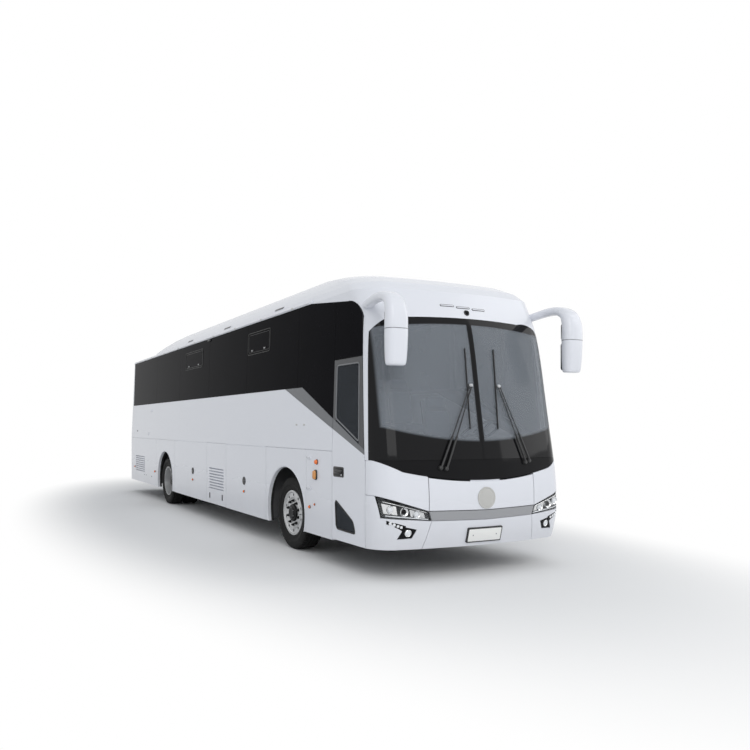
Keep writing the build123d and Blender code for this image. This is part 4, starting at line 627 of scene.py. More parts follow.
class Shape:
    """A mesh put together from lofted, turned, repeated and beaded forms."""

    def __init__(self):
        self.points = []
        self.faces = []
        self.looks = []

    def face(self, corners, look):
        """One face with its finish."""
        self.faces.append(tuple(corners))
        self.looks.append(look)

    def loft(self, loops, look, closed=True):
        """A skin over loops of points, closed at both ends."""
        start = len(self.points)
        size = len(loops[0])
        for loop in loops:
            self.points.extend(Vector(point) for point in loop)
        for row in range(len(loops) - 1):
            for i in range(size):
                a = start + row * size + i
                b = start + row * size + (i + 1) % size
                self.face((a, b, b + size, a + size), look)
        if closed:
            self.face(reversed(range(start, start + size)), look)
            self.face(range(len(self.points) - size, len(self.points)), look)
        return self

    def hoop(self, loops, look):
        """A skin over loops of points whose last loop meets the first."""
        return self.loft([*loops, loops[0]], look, closed=False)

    def turned(self, seat, profile, look, count=28):
        """A form turned about a frame's third axis, from radii and heights."""
        return self.loft(rings(seat, profile, count), look)

    def pad(self, seat, size, look, sunk=0.004):
        """A rounded block on a surface: width, height, corner radius, thickness and softened edge."""
        width, height, radius, thick, edge = size
        levels = ((0.0, -sunk), (0.0, thick - edge), (edge * 0.3, thick - edge * 0.3), (edge, thick))
        loops = []
        for inset, level in levels:
            outline = rounded(width - 2 * inset, height - 2 * inset, max(radius - inset, 0.0005))
            loops.append([seat @ Vector((across, up, level)) for across, up in outline])
        return self.loft(loops, look)

    def holed_ring(self, seat, band, height, holes, depth, look):
        """A flat ring between two radii with a circle of round holes through it."""
        inner, outer = band
        count, hole_circle, hole_radius = holes
        turn = 2 * pi / count
        for k in range(count):
            spun = seat @ Matrix.Rotation(-k * turn, 4, "Z")
            border = []
            rim = []
            for across, up in circle(1.0, HOLE_STEPS):
                reach = max(abs(across), abs(up))
                angle = (k + across / reach / 2) * turn
                radius = (outer + inner) / 2 + up / reach * (outer - inner) / 2
                border.append(seat @ Vector((radius * sin(angle), radius * cos(angle), height)))
                rim.append(spun @ Vector((hole_radius * across, hole_circle + hole_radius * up, height)))
            floor = [point - depth * seat.col[2].xyz for point in rim]
            self.loft([border, rim, floor], look, closed=False)
        return self

    def take(self, mesh, look):
        """Every face of a finished mesh."""
        start = len(self.points)
        self.points.extend(vertex.co.copy() for vertex in mesh.vertices)
        for polygon in mesh.polygons:
            self.face([start + corner for corner in polygon.vertices], look)
        return self

    def row(self, form, look, count, start=(0, 0, 0), step=(0, 0, 0), axis=(0, 0, 1), turn=0.0):
        """A form repeated along a line or round an axis."""
        values = {"Count": count, "Start": start, "Step": step, "Axis": axis, "Turn": turn}
        return self.take(grown(form.mesh("row_form"), repeat_tree(), values, look), look)

    def bead(self, path, radius, look, closed=False, sides=8):
        """A round bead along a path."""
        edges = [(i, i + 1) for i in range(len(path) - 1)]
        if closed:
            edges.append((len(path) - 1, 0))
        mesh = bpy.data.meshes.new("bead_path")
        mesh.from_pydata([tuple(point) for point in path], edges, [])
        return self.take(grown(mesh, bead_tree(), {"Radius": radius, "Sides": sides}, look), look)

    def mesh(self, name):
        """The plain mesh, with its faces turned outwards and its finishes in slots."""
        made = bpy.data.meshes.new(name)
        made.from_pydata(self.points, [], self.faces)
        looks = sorted(set(self.looks))
        for look in looks:
            made.materials.append(FINISHES[look])
        made.polygons.foreach_set("material_index", [looks.index(look) for look in self.looks])
        work = bmesh.new()
        work.from_mesh(made)
        bmesh.ops.remove_doubles(work, verts=work.verts, dist=WELD)
        bmesh.ops.recalc_face_normals(work, faces=work.faces)
        work.to_mesh(made)
        work.free()
        made.polygons.foreach_set("use_smooth", [True] * len(made.polygons))
        made.set_sharp_from_angle(angle=SHARP)
        return made

    def piece(self, name, body, slot):
        """The finished piece, riding on a body."""
        made = bpy.data.objects.new(name, self.mesh(name))
        bpy.context.scene.collection.objects.link(made)
        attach(made, body)
        return made


class Fittings:
    """Small fittings of one kind, which ride on whatever carries them."""

    def __init__(self, name, slot):
        self.name = name
        self.slot = slot
        self.shapes = {}

    def on(self, owner):
        """The shape that rides with the solid piece of this name."""
        body = frame["nodes"][owner]["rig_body"]
        return self.shapes.setdefault(body, Shape())

    def close(self):
        """One piece for each body."""
        for body, shape in self.shapes.items():
            ending = "" if len(self.shapes) == 1 else f"_on_{body}"
            shape.piece(self.name + ending, body, self.slot)


TREES = {}


def new_tree(name, sockets):
    """A node tree with named inputs that takes one shape and gives one."""
    tree = bpy.data.node_groups.new(name, "GeometryNodeTree")
    tree.interface.new_socket("Shape", in_out="INPUT", socket_type="NodeSocketGeometry")
    for socket, kind in sockets.items():
        tree.interface.new_socket(socket, in_out="INPUT", socket_type=kind)
    tree.interface.new_socket("Shape", in_out="OUTPUT", socket_type="NodeSocketGeometry")
    TREES[name] = tree
    return tree


def add_node(tree, kind, sockets=None, **settings):
    """A node in a tree, set up and fed."""
    made = tree.nodes.new(kind)
    for name, setting in settings.items():
        setattr(made, name, setting)
    for name, fed in (sockets or {}).items():
        if isinstance(fed, bpy.types.NodeSocket):
            tree.links.new(fed, made.inputs[name])
        else:
            made.inputs[name].default_value = fed
    return made


def repeat_tree():
    """Repeats a shape along a line, turning it a little more each time."""
    if "repeat_shape" in TREES:
        return TREES["repeat_shape"]
    tree = new_tree("repeat_shape", {
        "Count": "NodeSocketInt", "Start": "NodeSocketVector", "Step": "NodeSocketVector",
        "Axis": "NodeSocketVector", "Turn": "NodeSocketFloat", "Finish": "NodeSocketMaterial",
    })
    given = add_node(tree, "NodeGroupInput").outputs
    index = add_node(tree, "GeometryNodeInputIndex").outputs[0]
    shift = add_node(tree, "ShaderNodeVectorMath", {0: given["Step"], "Scale": index}, operation="SCALE")
    moves = {0: given["Start"], 1: shift.outputs[0]}
    place = add_node(tree, "ShaderNodeVectorMath", moves, operation="ADD")
    angle = add_node(tree, "ShaderNodeMath", {0: given["Turn"], 1: index}, operation="MULTIPLY")
    points = add_node(tree, "GeometryNodePoints", {"Count": given["Count"], "Position": place.outputs[0]})
    spin = add_node(tree, "FunctionNodeAxisAngleToRotation", {
        "Axis": given["Axis"], "Angle": angle.outputs[0],
    })
    copies = add_node(tree, "GeometryNodeInstanceOnPoints", {
        "Points": points.outputs[0], "Instance": given["Shape"], "Rotation": spin.outputs[0],
    })
    end_tree(tree, copies.outputs[0], given["Finish"])
    return tree


def bead_tree():
    """Runs a round bead along a path of edges."""
    if "bead_along_path" in TREES:
        return TREES["bead_along_path"]
    tree = new_tree("bead_along_path", {
        "Radius": "NodeSocketFloat", "Sides": "NodeSocketInt", "Finish": "NodeSocketMaterial",
    })
    given = add_node(tree, "NodeGroupInput").outputs
    path = add_node(tree, "GeometryNodeMeshToCurve", {"Mesh": given["Shape"]})
    section = add_node(tree, "GeometryNodeCurvePrimitiveCircle", {
        "Resolution": given["Sides"], "Radius": given["Radius"],
    })
    bead = add_node(tree, "GeometryNodeCurveToMesh", {
        "Curve": path.outputs[0], "Profile Curve": section.outputs[0], "Fill Caps": True,
    })
    end_tree(tree, bead.outputs[0], given["Finish"])
    return tree


def end_tree(tree, shape, finish):
    """Close a tree: real faces with their finish."""
    real = add_node(tree, "GeometryNodeRealizeInstances", {"Geometry": shape})
    painted_shape = add_node(tree, "GeometryNodeSetMaterial", {
        "Geometry": real.outputs[0], "Material": finish,
    })
    add_node(tree, "NodeGroupOutput", {"Shape": painted_shape.outputs[0]})


def grown(mesh, tree, values, look):
    """The plain mesh that a tree makes from another mesh."""
    source = bpy.data.objects.new("source", mesh)
    bpy.context.scene.collection.objects.link(source)
    modifier = source.modifiers.new("tree", "NODES")
    modifier.node_group = tree
    for socket in tree.interface.items_tree:
        if socket.in_out == "INPUT" and socket.name in values:
            modifier[socket.identifier] = values[socket.name]
        elif socket.in_out == "INPUT" and socket.name == "Finish":
            modifier[socket.identifier] = FINISHES[look]
    graph = bpy.context.evaluated_depsgraph_get()
    made = bpy.data.meshes.new_from_object(source.evaluated_get(graph))
    bpy.data.objects.remove(source)
    return made


# Fittings: pads list width, height, corner radius, thickness and softened edge;
# profiles list radius, or share of a radius, and height

LOCKS = ((6.20, 0.80), (3.58, 0.80))  # distance behind the seam, height
LOCK_DISH = ((1, -0.003), (1, 0.004), (0.93, 0.007), (0.84, 0.006), (0.80, 0.002), (0.2, 0.001))
LOCK_RISE = 0.008
LOCK_KEY = ((0.009, 0), (0.009, 0.002), (0.007, 0.003))


def fit_locks(skin, radius):
    """Round black locks with a folded handle on the luggage flaps."""
    locks = Fittings("flap_locks", "trim_black")
    handle = (radius * 1.35, radius * 0.52, radius * 0.2, LOCK_RISE, 0.003)
    for side in SIDES.values():
        for back, z in LOCKS:
            owner, seat = skin.side(back, z, side)
            shape = locks.on(owner)
            shape.turned(seat, scaled(LOCK_DISH, radius), "dark_trim", 32)
            shape.pad(seat, handle, "gloss_black", sunk=0.0)
            shape.turned(moved(seat, radius * 0.42, 0, LOCK_RISE), LOCK_KEY, "steel", 16)
    locks.close()


# distance behind the seam, height, share of the marker's radius
MARKERS = (
    (1.145, 1.197, 1.15), (1.335, 0.636, 0.75), (1.202, 0.678, 0.5), (3.58, 0.64, 0.75),
    (6.20, 0.64, 0.75), (8.99, 0.628, 0.9), (10.95, 0.64, 0.75),
)
MARKER_CUP = ((1.2, -0.002), (1.2, 0.004), (1.08, 0.007), (1, 0.007))
MARKER_SEAT = 0.004  # where a lens starts in its cup
MARKER_RISE = 0.030  # how far a full-sized marker's lens stands out
MARKER_LENS = ((0.98, 0.5), (0.88, 0.78), (0.62, 0.95), (0.3, 1))  # shares of the radius and of the rise
SIDE_LAMP = (1.17, 1.04)
SIDE_LAMP_CASE = (0.072, 0.124, 0.030, 0.016, 0.006)
SIDE_LAMP_LENS = (0.058, 0.108, 0.026, 0.032, 0.020)
SIDE_LAMP_RISE = 0.014


def fit_markers(skin, full_radius):
    """Round amber markers in black cups, and a side lamp in its case."""
    markers = Fittings("side_markers", "lamp")
    for side in SIDES.values():
        for back, z, share in MARKERS:
            radius = full_radius * share
            owner, seat = skin.side(back, z, side)
            shape = markers.on(owner)
            shape.turned(seat, scaled(MARKER_CUP, radius), "dark_trim", 24)
            rise = MARKER_RISE * share
            dome = [(radius * wide, rise * high) for wide, high in MARKER_LENS]
            shape.turned(seat, [(radius, MARKER_SEAT), *dome], "amber", 24)
        owner, seat = skin.side(*SIDE_LAMP, side)
        shape = markers.on(owner)
        shape.pad(seat, SIDE_LAMP_CASE, "dark_trim")
        shape.pad(moved(seat, 0, 0, SIDE_LAMP_RISE), SIDE_LAMP_LENS, "pale_amber")
    markers.close()


ENTRY_HINGES = ((1.36, 1.245), (1.36, 0.863))
HINGE_PLATE = (0.105, 0.042, 0.014, 0.013, 0.005)
HINGE_SCREW = ((0.007, -0.002), (0.007, 0.002), (0.005, 0.003))
HINGE_SCREWS = 2
SKIN_MARKS = ((1.52, 1.646), (1.74, 1.646))
SKIN_MARK = (0.05, 0.02, 0.008, 0.004, 0.002)


def fit_entry_hinges(skin):
    """Painted strap hinges ahead of the front arch, each with two screws, and two cover caps above."""
    hinges = Fittings("entry_hinges", "white_paint")
    width = HINGE_PLATE[0]
    thick = HINGE_PLATE[3]
    for side in SIDES.values():
        for back, z in ENTRY_HINGES:
            owner, seat = skin.side(back, z, side)
            shape = hinges.on(owner)
            shape.pad(seat, HINGE_PLATE, "body")
            turn = seat.to_3x3().to_4x4()
            screw = Shape().turned(turn, HINGE_SCREW, "steel", 12)
            start = seat @ Vector((-width * 0.3, 0, thick))
            step = turn @ Vector((width * 0.6, 0, 0))
            shape.row(screw, "steel", HINGE_SCREWS, start, step)
        for back, z in SKIN_MARKS:
            owner, seat = skin.side(back, z, side)
            hinges.on(owner).pad(seat, SKIN_MARK, "badge")
    hinges.close()


ARCH_RADIUS = 0.602
ARCH_Z = 0.50
ARCH_STEPS = 48
SKIRT_Z = 0.31
AXLES_X = (3.45, -2.65)
LIP_THICK = 0.006
# radius beyond the arch's edge and depth inside the body's side of a lining's section
LINING = ((0.001, 0.003), (-0.006, 0.005), (-0.006, 0.085), (0.001, 0.085))


def arch_point(middle, side, angle, beyond, depth):
    """A point beyond a wheel arch's edge and inside the body's side."""
    radius = ARCH_RADIUS + beyond
    return Vector((middle + radius * cos(angle), side * (HALF - depth), ARCH_Z + radius * sin(angle)))


def fit_arch_lips():
    """Raised painted lips round the wheel arches, and a black rubber lining inside each arch."""
    lips = Shape()
    foot = asin((SKIRT_Z - ARCH_Z) / ARCH_RADIUS)
    angles = spread(foot, pi - foot, ARCH_STEPS)
    for side in SIDES.values():
        for middle in AXLES_X:
            path = [arch_point(middle, side, angle, 0.0, 0.0) for angle in angles]
            lips.bead(path, LIP_THICK, "body", sides=10)
            lining = [[arch_point(middle, side, angle, *corner) for corner in LINING] for angle in angles]
            lips.loft(lining, "seal")
    lips.piece("arch_lips", "coach", "white_paint")


GUTTER_Z = 3.168
GUTTER_Y = 1.222
GUTTER_ENDS = (4.07, -5.55)
GUTTER_BEAD = 0.011
GUTTER_CLIP = (0.05, 0.024, 0.006, 0.013, 0.003)
GUTTER_CLIPS = 9
GUTTER_MARGIN = 0.5  # from a gutter's end to its first clip


def fit_gutters():
    """Rain gutters along the roof's edges, with clips along them."""
    gutters = Shape()
    front, back = GUTTER_ENDS
    step = (back - front + 2 * GUTTER_MARGIN) / (GUTTER_CLIPS - 1)
    for side in SIDES.values():
        y = side * GUTTER_Y
        gutters.bead([(front, y, GUTTER_Z), (back, y, GUTTER_Z)], GUTTER_BEAD, "body")
        clip = Shape().pad(axle_frame((0, 0, 0), (0, side, 0)), GUTTER_CLIP, "badge")
        first = (front - GUTTER_MARGIN, y, GUTTER_Z)
        gutters.row(clip, "badge", GUTTER_CLIPS, first, (step, 0, 0))
    gutters.piece("rain_gutters", "coach", "white_paint")


# distance behind the seam, height, width, height of the slot
SLOTS = (
    (2.50, 3.245, 0.30, 0.034), (4.62, 3.245, 0.30, 0.034), (6.69, 3.245, 0.30, 0.034),
    (5.21, 0.442, 0.020, 0.085), (4.57, 0.451, 0.020, 0.085),
    (10.0, 0.50, 0.05, 0.018), (9.8, 0.50, 0.05, 0.018), (9.3, 0.50, 0.05, 0.018),
    (10.71, 1.507, 0.075, 0.035),
)
SLOT_RIM = 0.012
BLISTERS = ((9.39, 1.96), (9.63, 1.449))
BLISTER = (0.085, 0.05, 0.02, 0.012, 0.008)
CANT_LAMP = (5.4, 3.120)
CANT_LAMP_CASE = (0.13, 0.035, 0.01, 0.022, 0.005)


def fit_slots(skin):
    """Dark slots in the roof edge and skirt, white blisters, and a lamp block on the cantrail."""
    slots = Fittings("side_slots", "trim_black")
    for side in SIDES.values():
        for back, z, width, height in SLOTS:
            owner, seat = skin.side(back, z, side)
            shape = slots.on(owner)
            shape.pad(seat, (width + SLOT_RIM, height + SLOT_RIM, height * 0.4, 0.003, 0.0015), "body")
            shape.pad(seat, (width, height, height * 0.35, 0.0045, 0.001), "dark_trim")
        for back, z in BLISTERS:
            owner, seat = skin.side(back, z, side)
            slots.on(owner).pad(seat, BLISTER, "body")
        owner, seat = skin.side(*CANT_LAMP, side)
        slots.on(owner).pad(seat, CANT_LAMP_CASE, "dark_trim")
    slots.close()


class COACH_OT_side_fittings(bpy.types.Operator):
    """Fit locks, markers, hinges, arch lips, gutters and slots to both sides"""

    bl_idname = "coach.side_fittings"
    bl_label = "Side fittings"

    def execute(self, context):
        sizes = context.scene.coach_sizes
        skin = Skin(frame["nodes"])
        fit_locks(skin, sizes.lock_radius)
        fit_markers(skin, sizes.marker_radius)
        fit_entry_hinges(skin)
        fit_arch_lips()
        fit_gutters()
        fit_slots(skin)
        return {"FINISHED"}


OUTLINE_RADIUS = 0.04
OUTLINE_STEPS = 4


def side_path(skin, corners, side):
    """A rounded outline on the coach's side, its corners as distances behind the seam and heights."""
    path = []
    count = len(corners)
    for i in range(count):
        here = Vector(corners[i])
        before = (Vector(corners[i - 1]) - here).normalized() * OUTLINE_RADIUS
        after = (Vector(corners[(i + 1) % count]) - here).normalized() * OUTLINE_RADIUS
        for share in spread(0, 1, OUTLINE_STEPS):
            back, z = here + before * (1 - share) ** 2 + after * share ** 2
            owner, point, out = skin.hit((X_CORNER - back, side * FAR, z), (0, -side, 0))
            path.append(point)
    return path


# front and back edges behind the seam, lower and upper edges
HOPPERS = ((2.69, 3.53, 2.69, 3.01), (5.75, 6.80, 2.69, 3.01))
HOPPER_BEADS = ((0.0, 0.45, "seal", 8), (0.03, 0.2, "frame", 6))  # inset, share of the seal, finish, sides
CATCHES = (0.22, 0.78)  # shares along the window
CATCH_UP = 0.055
CATCH_PLATE = (0.075, 0.03, 0.008, 0.010, 0.003)
CATCH_LEVER = (0.03, 0.018, 0.006, 0.007, 0.002)
CATCH_RISE = 0.008


def fit_hoppers(skin, seal):
    """Tilting top windows let into the glass band, each with two catches."""
    hoppers = Shape()
    for side in SIDES.values():
        for front, back, low, high in HOPPERS:
            for inset, share, look, sides in HOPPER_BEADS:
                near, far = front + inset, back - inset
                foot, head = low + inset, high - inset
                corners = ((near, foot), (far, foot), (far, head), (near, head))
                hoppers.bead(side_path(skin, corners, side), seal * share, look, closed=True, sides=sides)
            for share in CATCHES:
                owner, seat = skin.side(front + (back - front) * share, low + CATCH_UP, side)
                hoppers.pad(seat, CATCH_PLATE, "frame")
                hoppers.pad(moved(seat, 0, 0, CATCH_RISE), CATCH_LEVER, "steel")
    hoppers.piece("hopper_windows", "coach", "glass_dark")


DOOR_WINDOW = ((0.152, 1.462), (0.690, 1.722), (0.690, 2.325), (0.185, 2.325))
KERB_WINDOW = ((0.674, 0.787), (0.265, 0.580), (0.218, 0.450), (0.648, 0.460))
DOOR_SIDE = SIDES["right"]
HANDLE = (0.598, 1.109)
HANDLE_PLATE = (0.245, 0.117, 0.02, 0.004, 0.002)
HANDLE_RISE = 0.004
HANDLE_GRIP_UP = 0.012
DOOR_LOCK_DOWN = 0.032
DOOR_LOCK = ((0.012, 0), (0.012, 0.004), (0.010, 0.006), (0.004, 0.006))


def fit_door(skin, seal):
    """Seals round the door's two panes, and its recessed handle."""
    trims = Shape()
    trims.bead(side_path(skin, DOOR_WINDOW, DOOR_SIDE), seal * 0.55, "door_frame", closed=True)
    trims.bead(side_path(skin, KERB_WINDOW, DOOR_SIDE), seal * 0.6, "seal", closed=True)
    owner, seat = skin.side(*HANDLE, DOOR_SIDE)
    width, height = HANDLE_PLATE[:2]
    trims.pad(seat, HANDLE_PLATE, "dark_trim")
    trims.pad(seat, (width * 0.86, height * 0.74, 0.016, 0.0055, 0.001), "gloss_black")
    grip = (width * 0.74, 0.03, 0.012, 0.014, 0.006)
    trims.pad(moved(seat, 0, HANDLE_GRIP_UP, HANDLE_RISE), grip, "dark_trim")
    trims.turned(moved(seat, width * 0.31, -DOOR_LOCK_DOWN, HANDLE_RISE), DOOR_LOCK, "steel", 20)
    trims.piece("door_trims", "passenger_door", "trim_black")


class COACH_OT_windows(bpy.types.Operator):
    """Fit the hopper windows, the seals and the passenger door's handle"""

    bl_idname = "coach.windows"
    bl_label = "Windows and door"

    def execute(self, context):
        skin = Skin(frame["nodes"])
        fit_hoppers(skin, context.scene.coach_sizes.seal)
        fit_door(skin, context.scene.coach_sizes.seal)
        return {"FINISHED"}


# corners of a headlamp, out from the middle and up: outer top, inner top, inner foot, outer foot
HEADLAMP = ((1.25, 0.90), (0.72, 0.735), (0.685, 0.632), (1.215, 0.672))
LAMP_DEPTH = 0.042
LAMP_STEPS = 14
# inset from the outline and depth of a tub's loops, from its floor over its rim to its back
TUB_LOOPS = ((0.06, LAMP_DEPTH - 0.004), (0.045, 0.004), (0.012, 0.003), (0.012, LAMP_DEPTH))
COVER_LOOPS = ((0.02, 0.0025), (0.02, 0.0))
# share along the lamp from its inner end, share up it, radius, finish of its lens
PROJECTORS = (
    (0.27, 0.44, 0.044, "bright"), (0.54, 0.46, 0.050, "gloss_black"), (0.80, 0.46, 0.046, "bright"),
)
PROJECTOR_DEPTH = LAMP_DEPTH - 0.006
PROJECTOR_BOWL = ((1, -0.002), (1, 0.014), (0.93, 0.018), (0.80, 0.012), (0.62, 0.006))
PROJECTOR_BALL = ((0.60, 0.004), (0.54, 0.012), (0.38, 0.018), (0.16, 0.0205))
STRIPS = ((0.13, 0.006, "bright"), (0.80, 0.004, "chrome"))  # share up the lamp, radius, finish
STRIP_ENDS = (0.06, 0.92)
STRIP_DEPTH = 0.013
REFLECTORS = ((0.10, 0.41), (0.69, 0.93))  # shares along the lamp between which each bright reflector lies
REFLECTOR_RISE = (0.22, 0.70)
REFLECTOR_DEPTHS = (LAMP_DEPTH - 0.004, 0.030)


def lamp_point(skin, side, share, rise, depth):
    """A point of a headlamp, by shares along it and up it, sunk behind the front's surface."""
    top = Vector(HEADLAMP[1]).lerp(Vector(HEADLAMP[0]), share)
    foot = Vector(HEADLAMP[2]).lerp(Vector(HEADLAMP[3]), share)
    y, z = foot.lerp(top, rise)
    return skin.front_point(side * y, z) - Vector((depth, 0, 0))


def lamp_loop(skin, side, along, rises, depth):
    """Points round a part of a headlamp, between shares along it and up it."""
    low, high = rises
    shares = spread(*along, LAMP_STEPS)
    run = [(share, high) for share in shares] + [(share, low) for share in reversed(shares)]
    return [lamp_point(skin, side, share, rise, depth) for share, rise in run]


def lamp_rim(skin, side, inset, depth):
    """Points round a whole headlamp, inset from its outline."""
    return lamp_loop(skin, side, (inset / 4, 1 - inset / 4), (inset, 1 - inset), depth)


def fit_headlamps(skin):
    """Headlamps: black tubs with reflectors, projectors and light strips behind clear covers."""
    tubs = Shape()
    covers = Shape()
    for side in SIDES.values():
        tubs.loft([lamp_rim(skin, side, *loop) for loop in TUB_LOOPS], "gloss_black")
        for along in REFLECTORS:
            loops = [lamp_loop(skin, side, along, REFLECTOR_RISE, depth) for depth in REFLECTOR_DEPTHS]
            tubs.loft(loops, "chrome")
        for share, rise, radius, look in PROJECTORS:
            seat = axle_frame(lamp_point(skin, side, share, rise, PROJECTOR_DEPTH), (1, 0, 0))
            tubs.turned(seat, scaled(PROJECTOR_BOWL, radius), "chrome", 36)
            tubs.turned(seat, scaled(PROJECTOR_BALL, radius), look, 32)
        for rise, radius, look in STRIPS:
            shares = spread(*STRIP_ENDS, LAMP_STEPS)
            strip = [lamp_point(skin, side, share, rise, STRIP_DEPTH) for share in shares]
            tubs.bead(strip, radius, look, sides=10)
        covers.loft([lamp_rim(skin, side, *loop) for loop in COVER_LOOPS], "clear")
    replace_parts(tubs.piece("headlamp_tubs", "coach", "black_panel"), "headlamps")
    covers.piece("headlamp_covers", "coach", "lamp")


FOG_LAMP = (0.945, 0.511, 0.038)  # out from the middle, up, radius
FOG_BOWL = ((1, -0.002), (1, 0.006), (0.9, 0.009), (0.8, 0.006), (0.76, 0.003))
FOG_LENS = ((0.75, 0.002), (0.6, 0.007), (0.25, 0.0095))
FOG_DOTS = ((1.139, 0.617), (1.101, 0.6035), (1.063, 0.590), (1.026, 0.577))
FOG_DOT_RIM = (0.031, 0.029, 0.008, 0.005, 0.002)
FOG_DOT_LENS = (0.024, 0.022, 0.006, 0.007, 0.003)
FOG_ARM = ((1.172, 0.629), (0.975, 0.559))  # outer and inner end of the small lamps' black band
FOG_ARM_HALF = (0.019, 0.030)  # half its height at those ends
FOG_ARM_LEVELS = (-0.006, 0.002)  # its back and its face, out of the surface
FOG_STEPS = 10


def fit_fog_lamps(skin):
    """A round fog lamp and a row of four small lamps in each black chevron."""
    lamps = Fittings("fog_lamp_lenses", "lamp")
    back, face = FOG_ARM_LEVELS
    for side in SIDES.values():
        y, z, radius = FOG_LAMP
        owner, seat = skin.front(side * y, z)
        shape = lamps.on(owner)
        shape.turned(seat, scaled(FOG_BOWL, radius), "chrome", 32)
        shape.turned(seat, scaled(FOG_LENS, radius), "bright", 28)
        arm = []
        for share in spread(0, 1, FOG_STEPS):
            y, z = Vector(FOG_ARM[0]).lerp(Vector(FOG_ARM[1]), share)
            owner, seat = skin.front(side * y, z)
            half = FOG_ARM_HALF[0] + (FOG_ARM_HALF[1] - FOG_ARM_HALF[0]) * share
            section = ((-half, back), (half, back), (half, face), (-half, face))
            arm.append([seat @ Vector((0, up, level)) for up, level in section])
        shape.loft(arm, "gloss_black")
        for y, z in FOG_DOTS:
            owner, seat = skin.front(side * y, z)
            shape.pad(seat, FOG_DOT_RIM, "chrome")
            shape.pad(seat, FOG_DOT_LENS, "bright")
    lamps.close()


BADGE = (0.0, 0.852, 0.118)  # across, up, radius
BADGE_RIM = ((1, -0.004), (1, 0.006), (0.97, 0.009), (0.90, 0.009), (0.87, 0.006))
BADGE_DOME = ((0.865, 0.004), (0.8, 0.007), (0.5, 0.0095), (0.2, 0.0105))
FRONT_PLATE = (0.0, 0.453)
PLATE = (0.44, 0.14, 0.010, 0.004, 0.001)
PLATE_CARRIER = (0.47, 0.17, 0.012, 0.012, 0.004)
PLATE_SUNK = 0.03  # how far its carrier reaches into a curved panel
PLATE_RISE = 0.011
PLATE_SCREW_RISE = 0.0145
PLATE_SCREWS = (-0.1584, 0.1584)
PLATE_SCREW = ((0.008, 0), (0.008, 0.002), (0.005, 0.0035))


def fit_front_plates(skin):
    """A blank round badge on the front flap and a blank number plate on the bumper."""
    plates = Fittings("front_plates", "silver_trim")
    y, z, radius = BADGE
    owner, seat = skin.front(y, z)
    for profile in (BADGE_RIM, BADGE_DOME):
        plates.on(owner).turned(seat, scaled(profile, radius), "badge", 48)
    fit_plate(plates, *skin.front(*FRONT_PLATE))
    plates.close()


def fit_plate(fittings, owner, seat):
    """A blank number plate on its black carrier, with two screws."""
    shape = fittings.on(owner)
    shape.pad(seat, PLATE_CARRIER, "dark_trim", sunk=PLATE_SUNK)
    shape.pad(moved(seat, 0, 0, PLATE_RISE), PLATE, "plate")
    for across in PLATE_SCREWS:
        shape.turned(moved(seat, across, 0, PLATE_SCREW_RISE), PLATE_SCREW, "steel", 16)


BROW_SLOTS = ((-0.235, 2.982), (-0.02, 2.970), (0.195, 2.958))
BROW_SLOT = (0.185, 0.026, 0.0104, 0.004, 0.0015)
BROW_TONGUE = (0.173, 0.014, 0.0052, 0.0055, 0.001)
BROW_DOME = (0.01, 2.908)
BROW_RING = ((0.036, -0.004), (0.036, 0.004), (0.030, 0.008), (0.028, 0.009))
BROW_LENS = ((0.026, 0.006), (0.024, 0.018), (0.016, 0.027), (0.005, 0.031))


def fit_brow(skin):
    """Three outlined slots in the brow and a small dark camera dome under them."""
    brow = Fittings("brow_fittings", "trim_black")
    for y, z in BROW_SLOTS:
        owner, seat = skin.front(y, z)
        brow.on(owner).pad(seat, BROW_SLOT, "dark_trim")
        brow.on(owner).pad(seat, BROW_TONGUE, "body")
    owner, seat = skin.front(*BROW_DOME)
    brow.on(owner).turned(seat, BROW_RING, "dark_trim", 28)
    brow.on(owner).turned(seat, BROW_LENS, "gloss_black", 28)
    brow.close()


# a mirror's sections from root to foot: forward, out, up, pitch, width and depth
MIRROR_ROWS = (
    (5.36, 1.160, 2.950, 10.0, 0.105, 0.085),
    (5.62, 1.190, 2.985, 0.0, 0.120, 0.090),
    (5.80, 1.195, 2.975, -18.0, 0.155, 0.100),
    (5.93, 1.195, 2.915, -52.0, 0.205, 0.125),
    (5.985, 1.195, 2.800, -80.0, 0.238, 0.145),
    (5.990, 1.195, 2.620, -90.0, 0.250, 0.150),
    (5.985, 1.195, 2.400, -90.0, 0.242, 0.140),
    (5.980, 1.195, 2.270, -90.0, 0.222, 0.118),
    (5.980, 1.195, 2.245, -90.0, 0.180, 0.080),
)
MIRROR_STEPS = 5
MIRROR_CORNER = 0.44  # share of the depth that rounds a section
MIRROR_AXIS = (5.990, 1.195)  # forward and out, through the hanging case
MIRROR_GLASSES = ((2.43, 0.165, 0.29), (2.715, 0.160, 0.17))  # middle, width and height of each glass
MIRROR_GASKET = 0.025  # how much wider and taller than its glass
MIRROR_GASKET_SUNK = 0.03
MIRROR_GLASS_RISE = 0.004
MIRROR_SEAM_Z = 2.615
MIRROR_SEAM = 0.0028
MIRROR_SEAM_STEPS = 40


def eased(rows, steps):
    """Rows of numbers with smooth ones between them."""
    made = []
    for i in range(len(rows) - 1):
        before, first = Vector(rows[max(i - 1, 0)]), Vector(rows[i])
        second, after = Vector(rows[i + 1]), Vector(rows[min(i + 2, len(rows) - 1)])
        for step in range(steps):
            t = step / steps
            pull = (second - before) * t * (1 - t) ** 2 / 2 - (after - first) * t * t * (1 - t) / 2
            made.append(first + (second - first) * t * t * (3 - 2 * t) + pull)
    made.append(Vector(rows[-1]))
    return made


